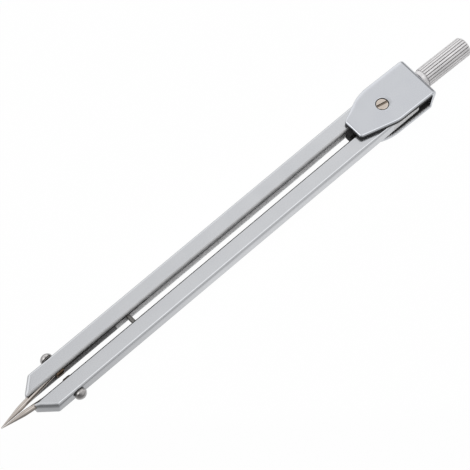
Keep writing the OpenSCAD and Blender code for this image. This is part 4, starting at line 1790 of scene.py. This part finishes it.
        # The edge's painted shade is grey on the left leg and near-black on the right; dark steel's colour is the
        # painted shade deep inside.
        edge = self.side.pick((Finishes.GREY_PAINTED_SHADE, Finishes.DARK_PAINTED_SHADE))
        finishes = (Finishes.LEG_PLATE, Finishes.PAINTED_LIGHT, edge, Finishes.LIP_PAINTED_LIGHT, Finishes.DARK_STEEL)
        self.piece(names, [self.channel(), *head], self.layout.leg_seat(self.side), *finishes)


@dataclass
class NeedleClamp(SubAssembly):
    """Needle of one leg with the trough, block, washer and screw that hold it.

    Attributes:
        tail: length of the needle above the clamp screw's axis.
        guide: gap between needle and trough.
        drop: gap between the trough and the leg's inside, and between block and trough.
        trough_slant: length over which the trough's edges slant off at its upper end.
        trough_left: height that they keep there, in thicknesses of the trough.
        trough_bend: outside radius of its folds, in thicknesses too.
        trough_lip: distance of its free edges inside the leg's.
        trough_gap: distance of its start from the toe's slant.
        block_out: how far the block stands out of the leg, left and right.
        block_seat: distance of its inner end from the leg's wall.
        block_nose: radius of the edges at its outer end.
    """

    leg: Leg
    needle_r: float = 0.8
    cone: float = 7.3
    point_r: float = 0.05
    tail: float = 5.7
    guide: float = 0.03
    drop: float = 0.05
    trough: float = 0.25
    trough_tail: float = 2.0
    trough_slant: float = 3.0
    trough_left: float = 2.2
    trough_bend: float = 1.6
    trough_curl: float = 0.05
    trough_lip: float = 0.6
    trough_gap: float = 0.4
    trough_stations: tuple[int, int] = (7, 6)
    block_l: float = 2.7
    block_out: tuple[float, float] = (0.75, 0.65)
    block_seat: float = 0.6
    block_edge: float = 0.22
    block_nose: float = 0.75
    shank_r: float = 0.6
    head_r: float = 1.8
    head_h: float = 1.6
    dome_r: float = 1.95
    slot_w: float = 0.5
    slot_depth: float = 0.3
    slot_turn: float = math.radians(25.0)
    washer_r: float = 1.6
    washer_t: float = 0.35
    slip: float = 0.05
    hole_clear: float = 0.15
    turns: int = 40

    def __post_init__(self) -> None:
        """Works out the heights and the needle's axis."""
        self.middle = self.layout.leg_z + self.layout.leg_t / 2
        self.edge, self.wall = self.layout.edge_out, self.leg.sheet
        self.slope = math.tan(self.layout.needle_tilt)
        tip_u, tip_v = self.layout.tip
        self.start = (tip_u, tip_v + self.point_r * math.cos(self.layout.needle_tilt))
        self.names = self.leg.side.names
        self.seat = self.layout.leg_seat(self.leg.side)

    def floor(self, u: float) -> float:
        """Distance of the trough's back from the dividers' middle, under the needle at length u."""
        reach = (self.needle_r + self.guide + self.trough) / math.cos(self.layout.needle_tilt)
        return self.start[1] + (u - self.start[0]) * self.slope + reach

    def needle(self) -> None:
        """Turns the needle: blunt point, cone that eases into the shaft, and a chamfered tail."""
        cos, sin = math.cos(self.layout.needle_tilt), math.sin(self.layout.needle_tilt)
        length = (self.layout.clamp - self.start[0]) / cos + self.tail
        chamfer = self.needle_r / 4
        corners = [
            (0.0, 0.0), (0.0, self.point_r), (self.cone, self.needle_r), (length - chamfer, self.needle_r),
            (length, self.needle_r - chamfer), (length, 0.0),
        ]
        profile = rounded(corners, [0, 0.04, 0.9, 0.05, 0.05, 0], steps=8)
        across, up, along = np.moveaxis(lathe(profile, self.turns), -1, 0)
        points = np.stack([
            self.start[0] + cos * along - sin * across,
            self.start[1] + sin * along + cos * across,
            self.middle + up,
        ], axis=-1)
        part = Part().grid(points, wrap=True)
        names = self.names("needle_point", "needle", "needle")
        self.piece(names, [part], self.seat, Finishes.NEEDLE_STEEL)

    def holder(self) -> None:
        """Carries a thin channel along the needle, its back rising to the wall, its edges slanting off."""
        leg = self.leg
        back_v = self.edge - self.wall - self.drop
        rise = math.tan(math.atan2(self.edge - leg.inner_edge - leg.toe_flat, leg.toe_cut))
        toe = self.layout.toe + self.wall / math.sin(math.atan(rise))
        toe_v = leg.inner_edge + leg.toe_flat - toe * rise
        first = (self.floor(0.0) - toe_v) / (rise - self.slope) + self.trough_gap
        bend = (back_v - self.floor(0.0)) / self.slope
        last = bend + self.trough_tail
        lip_v = leg.inner_edge + self.trough_lip
        end_v = back_v - self.trough_left * self.trough
        low = self.layout.leg_z + self.wall + self.drop
        high = 2 * self.middle - low
        bends = ((self.trough_bend * self.trough,) * 2,) * 2
        before, after = self.trough_stations
        stations = []
        for u in np.concatenate([np.linspace(first, bend, before), np.linspace(bend, last, after)[1:]]):
            back = min(self.floor(u), back_v)
            off = max(0.0, (u - last + self.trough_slant) / self.trough_slant)
            edge = lip_v + off * (end_v - lip_v)
            depths = (back - edge,) * 2
            loop = channel_loop(depths, bends, self.trough, low, high, (self.trough_curl,) * 2)
            stations.append(channel_station((u, back), (u, edge), loop, depths[0]))
        part = Part().sweep(np.stack(stations))
        self.piece(self.names("trough", "arm", "needle_holder"), [part], self.seat, Finishes.DARK_STEEL)

    def block(self) -> None:
        """Carries a rounded rectangle from the open side to under the leg's wall, all edges rounded."""
        half_z = self.layout.leg_t / 2 - self.wall - self.drop - self.trough - self.drop
        out = self.leg.side.pick(self.block_out)
        ends = (self.leg.inner_edge - out, self.edge - self.wall - self.block_seat)
        bar = rounded_bar((self.block_l / 2, half_z), ends, self.block_edge, self.block_nose)
        points = bar[..., [0, 2, 1]] + (self.layout.clamp, 0.0, self.middle)
        names = self.names("grip_block", "arm", "clamp_block")
        self.piece(names, [Part().sweep(points)], self.seat, Finishes.DARK_BRASS)

    def outwards(self, points: np.ndarray, from_v: float) -> np.ndarray:
        """Puts a turned piece on the clamp screw's axis, its height running outwards from from_v."""
        along, aside, height = np.moveaxis(points, -1, 0)
        return np.stack([self.layout.clamp + along, from_v + height, self.middle + aside], axis=-1)

    def washer(self) -> None:
        """Turns the washer under the screw's head."""
        hole = self.shank_r + self.hole_clear
        ring = rounded(
            [(0.0, hole), (0.0, self.washer_r), (self.washer_t, self.washer_r), (self.washer_t, hole)],
            [0, 0.08, 0.1, 0],
        )
        points = self.outwards(lathe(ring, self.turns), self.edge)
        part = Part().grid(points, wrap_rows=True, wrap=True)
        self.piece(self.names("ring_washer", "arm", "clamp_washer"), [part], self.seat, Finishes.DARK_STEEL)

    def screw(self) -> None:
        """Builds the domed screw with its shank, which reaches down to the needle."""
        base = self.edge + self.washer_t + self.slip
        floor = self.head_h - self.slot_depth
        head = SlottedHead(self.head_r, self.head_h, self.dome_r, 0.0, self.slot_w, floor, 0.0).part()
        cos, sin = math.cos(self.slot_turn), math.sin(self.slot_turn)
        turn = np.array([(cos, sin, 0.0), (-sin, cos, 0.0), (0.0, 0.0, 1.0)])
        head.points = [self.outwards(points @ turn, base) for points in head.points]
        needle_v = self.start[1] + (self.layout.clamp - self.start[0]) * self.slope
        foot = needle_v + self.needle_r + 3 * self.guide - base
        corners = [(foot, 0.0), (foot, self.shank_r), (self.slip, self.shank_r), (self.slip, 0.0)]
        shaft = lathe(rounded(corners, [0, 0.1, 0, 0]), self.turns)
        shank = Part().grid(self.outwards(shaft, base), wrap=True)
        names = self.names("domed_screw", "clamp_screw", "clamp_screw")
        # The slot gets a painted highlight.
        self.piece(names, [head, shank], self.seat, Finishes.SCREW_STEEL, Finishes.PAINTED_LIGHT)

    def build(self) -> None:
        """Builds and dresses every piece of the clamp."""
        self.needle()
        self.holder()
        self.block()
        self.washer()
        self.screw()


@dataclass
class StopPost(SubAssembly):
    """Dark post that is riveted in the left leg's wall and reaches across the gap."""

    leg: Leg
    radius: float = 0.65
    foot_r: float = 1.2
    foot_h: float = 0.8
    tail_r: float = 0.45
    turns: int = 36

    def build(self) -> None:
        """Turns the post: rivet tail, foot and bar with a rounded end."""
        low, high = Layout.box("stop_post")
        length, wall = high[1] - low[1], self.leg.sheet
        top = wall + self.foot_h
        corners = [
            (0.0, 0.0), (0.0, self.tail_r), (wall, self.tail_r), (wall, self.foot_r), (top, self.foot_r),
            (top, self.radius), (length, self.radius), (length, 0.0),
        ]
        profile = rounded(corners, [0, 0.05, 0, 0.08, 0.2, 0.1, 0.2, 0])
        across, up, along = np.moveaxis(lathe(profile, self.turns), -1, 0)
        place = (low + high) / 2
        points = np.stack([place[0] - self.layout.pivot + across, high[1] - along, place[2] + up], axis=-1)
        part = Part().grid(points, wrap=True)
        seat = self.layout.leg_seat(self.leg.side)
        self.piece(("stop_bar", "left_arm", "stop_post"), [part], seat, Finishes.DARK_STEEL)


@dataclass(frozen=True)
class SkyPatch:
    """Part of the sky that is lighter or darker than the rest.

    Attributes:
        towards: direction of its middle.
        edge: cosine of the angle where it starts.
        core: cosine of the angle within which it has its own level.
        level: its strength.
    """

    towards: tuple[float, float, float]
    edge: float
    core: float
    level: float


class Sky(Enum):
    """The patches, in the order in which they are laid over an even sky of strength 1."""

    GREY_FRONT = SkyPatch((0.32, -0.9, 0.25), 0.72, 0.88, 0.78)
    BRIGHT_FRONT = SkyPatch((0.32, -0.2, 0.925), 0.955, 0.985, 1.6)
    DARK_CAMERA_SIDE = SkyPatch((-0.8, -0.6, 0.0), 0.15, 1.05, 0.17)
    DARK_HANDLE_SIDE = SkyPatch((0.94, 0.33, 0.02), 0.85, 0.97, 0.35)
    BRIGHT_BACK = SkyPatch((0.2, 0.93, 0.3), 0.7, 0.93, 1.27)
    DIM_TOE_SIDE = SkyPatch((0.0, 0.5, 0.87), 0.93, 0.985, 0.8)
    BRIGHT_FOOT = SkyPatch((-0.6, 0.34, 0.72), 0.88, 0.96, 1.8)


@dataclass
class Studio:
    """Camera, pale floor and soft light.

    Attributes:
        target: point that the picture's middle looks at, in millimetres.
        distance: distance of the camera from it, in millimetres.
        azimuth: direction of the camera in degrees, 0 from -Y.
        elevation: height of the camera above the floor's plane in degrees.
        lens: focal length for a sensor 36 mm wide.
        floor_glow: share of the floor's own white in what the camera sees of it.
        metal_glow: the same share in what metal sees of it.
        floor_reach: half the floor's width, in metres.
        floor_drop: gap between the floor and the object, in millimetres.
        toes: places along X, in millimetres, between which painted shade dims the floor that metal sees towards
            the toes.
        pool: distances from the object's long axis, in millimetres, between which it dims: a painted pool of light
            round the object.
        levels: its levels by the middle of the legs, by the toes, past the pool and past the near toe.
        near_toe: direction in which it lies past the near toe, and the distances between which it dims.
    """

    target: tuple[float, float, float] = (-1.62, 0.39, 1.8)
    distance: float = 760.5
    azimuth: float = -43.43
    elevation: float = 61.93
    lens: float = 214.6
    floor_glow: float = 0.985
    metal_glow: float = 0.8
    floor_reach: float = 3.0
    floor_drop: float = 0.02
    toes: tuple[float, float] = (-15.0, -65.0)
    pool: tuple[float, float] = (9.0, 24.0)
    levels: tuple[float, float, float, float] = (1.0, 0.7, 0.7, 0.32)
    near_toe: tuple[float, float, float, float] = (-0.657, -0.753, 51.5, 57.5)

    def camera(self) -> None:
        """Puts the camera at the photograph's viewing angle."""
        turn, lift = math.radians(self.azimuth), math.radians(self.elevation)
        back = Vector((math.sin(turn) * math.cos(lift), -math.cos(turn) * math.cos(lift), math.sin(lift)))
        data = bpy.data.cameras.new("camera")
        data.lens, data.sensor_width = self.lens, 36.0
        data.clip_start, data.clip_end = 0.01, 20.0
        camera = bpy.data.objects.new("camera", data)
        camera.location = (Vector(self.target) + self.distance * back) * MM
        camera.rotation_mode = "QUATERNION"
        camera.rotation_quaternion = (-back).to_track_quat("-Z", "Y")
        bpy.context.scene.collection.objects.link(camera)
        bpy.context.scene.camera = camera

    def painted_floor_shade(self, nodes: NodeTree) -> bpy.types.NodeSocket:
        """Painted level of the floor: a painted pool of light, white by the object, with painted shade by the
        toes, further off and past the near toe.

        Args:
            nodes: tree of the floor's material.

        Returns:
            Socket with the level.
        """
        place = nodes.add("ShaderNodeNewGeometry").outputs["Position"]
        axes = nodes.add("ShaderNodeSeparateXYZ", {"Vector": place}).outputs
        past = nodes.along(place, Vector((*self.near_toe[:2], 0.0)))
        steps = (
            (axes["X"], *self.toes, self.levels[1]),
            (nodes.math("ABSOLUTE", axes["Y"]), *self.pool, self.levels[2]),
            (past, *self.near_toe[2:], self.levels[3]),
        )
        level = self.levels[0]
        for value, start, stop, last in steps:
            share = nodes.ramp(value, start * MM, stop * MM)
            level = nodes.math("MULTIPLY_ADD", share, nodes.math("SUBTRACT", last, level), level)
        return level

    def floor(self) -> None:
        """Lays a wide pale floor that glows white to the camera and less to metal, and keeps the shadow."""
        reach = self.floor_reach
        mesh = bpy.data.meshes.new("floor")
        corners = [(-reach, -reach, 0.0), (reach, -reach, 0.0), (reach, reach, 0.0), (-reach, reach, 0.0)]
        mesh.from_pydata(corners, [], [(0, 1, 2, 3)])
        floor = bpy.data.objects.new("floor", mesh)
        floor.location.z = -self.floor_drop * MM
        bpy.context.scene.collection.objects.link(floor)
        material = bpy.data.materials.new("pale_floor")
        material.use_nodes = True
        nodes = NodeTree(material.node_tree)
        material.node_tree.nodes.clear()
        # The floor's colour and its glow to metal carry painted shade away from the object.
        level = self.painted_floor_shade(nodes)
        plain = nodes.add("ShaderNodeBsdfDiffuse", {"Color": level}).outputs[0]
        path = nodes.add("ShaderNodeLightPath").outputs
        strength = nodes.math("MAXIMUM", level, path["Is Camera Ray"])
        white = nodes.add("ShaderNodeEmission", {"Color": WHITE, "Strength": strength}).outputs[0]
        metal = nodes.math("MAXIMUM", path["Is Glossy Ray"], path["Is Transmission Ray"])
        glow = nodes.math("MULTIPLY", path["Is Camera Ray"], self.floor_glow)
        glow = nodes.math("MULTIPLY_ADD", metal, self.metal_glow, glow)
        mixed = nodes.add("ShaderNodeMixShader", {0: glow, 1: plain, 2: white}).outputs[0]
        nodes.add("ShaderNodeOutputMaterial", {"Surface": mixed})
        mesh.materials.append(material)

    @staticmethod
    def world() -> None:
        """Lights all round with a sky of strength 1, over which each patch fades in round its direction."""
        world = bpy.data.worlds.new("studio")
        world.use_nodes = True
        bpy.context.scene.world = world
        nodes = NodeTree(world.node_tree)
        world.node_tree.nodes.clear()
        towards = nodes.add("ShaderNodeTexCoord").outputs["Generated"]
        unit = nodes.add("ShaderNodeVectorMath", {0: towards}, operation="NORMALIZE").outputs[0]
        strength = nodes.add("ShaderNodeValue").outputs[0]
        strength.default_value = 1.0
        for patch in (choice.value for choice in Sky):
            near = nodes.along(unit, Vector(patch.towards).normalized())
            share = nodes.ramp(near, patch.edge, patch.core, interpolation_type="SMOOTHSTEP")
            change = nodes.math("SUBTRACT", patch.level, strength)
            strength = nodes.math("MULTIPLY_ADD", share, change, strength)
        path = nodes.add("ShaderNodeLightPath").outputs
        strength = nodes.math("MAXIMUM", strength, path["Is Camera Ray"])
        sky = nodes.add("ShaderNodeBackground", {"Color": WHITE, "Strength": strength}).outputs[0]
        nodes.add("ShaderNodeOutputWorld", {"Surface": sky})

    def build(self) -> None:
        """Sets the whole studio up."""
        bpy.context.scene.view_settings.view_transform = "Standard"
        self.camera()
        self.floor()
        self.world()


def main() -> None:
    """Builds the studio and every sub-assembly in order."""
    logging.basicConfig(level=logging.INFO, format="%(name)s: %(message)s")
    layout = Layout.from_frame()
    LOG.info("pivot at %.3f mm, head leans by %.2f degrees", layout.pivot, math.degrees(layout.lean))
    Studio().build()
    finisher = Finisher()
    yoke = Yoke(layout, finisher)
    yoke.build()
    Handle(layout, finisher, yoke).build()
    Pivot(layout, finisher, yoke).build()
    FrictionPack(layout, finisher, yoke).build()
    legs = [Leg(layout, finisher, side) for side in Side]
    for leg in legs:
        leg.build()
        NeedleClamp(layout, finisher, leg).build()
    StopPost(layout, finisher, legs[0]).build()


if __name__ == "__main__":
    main()
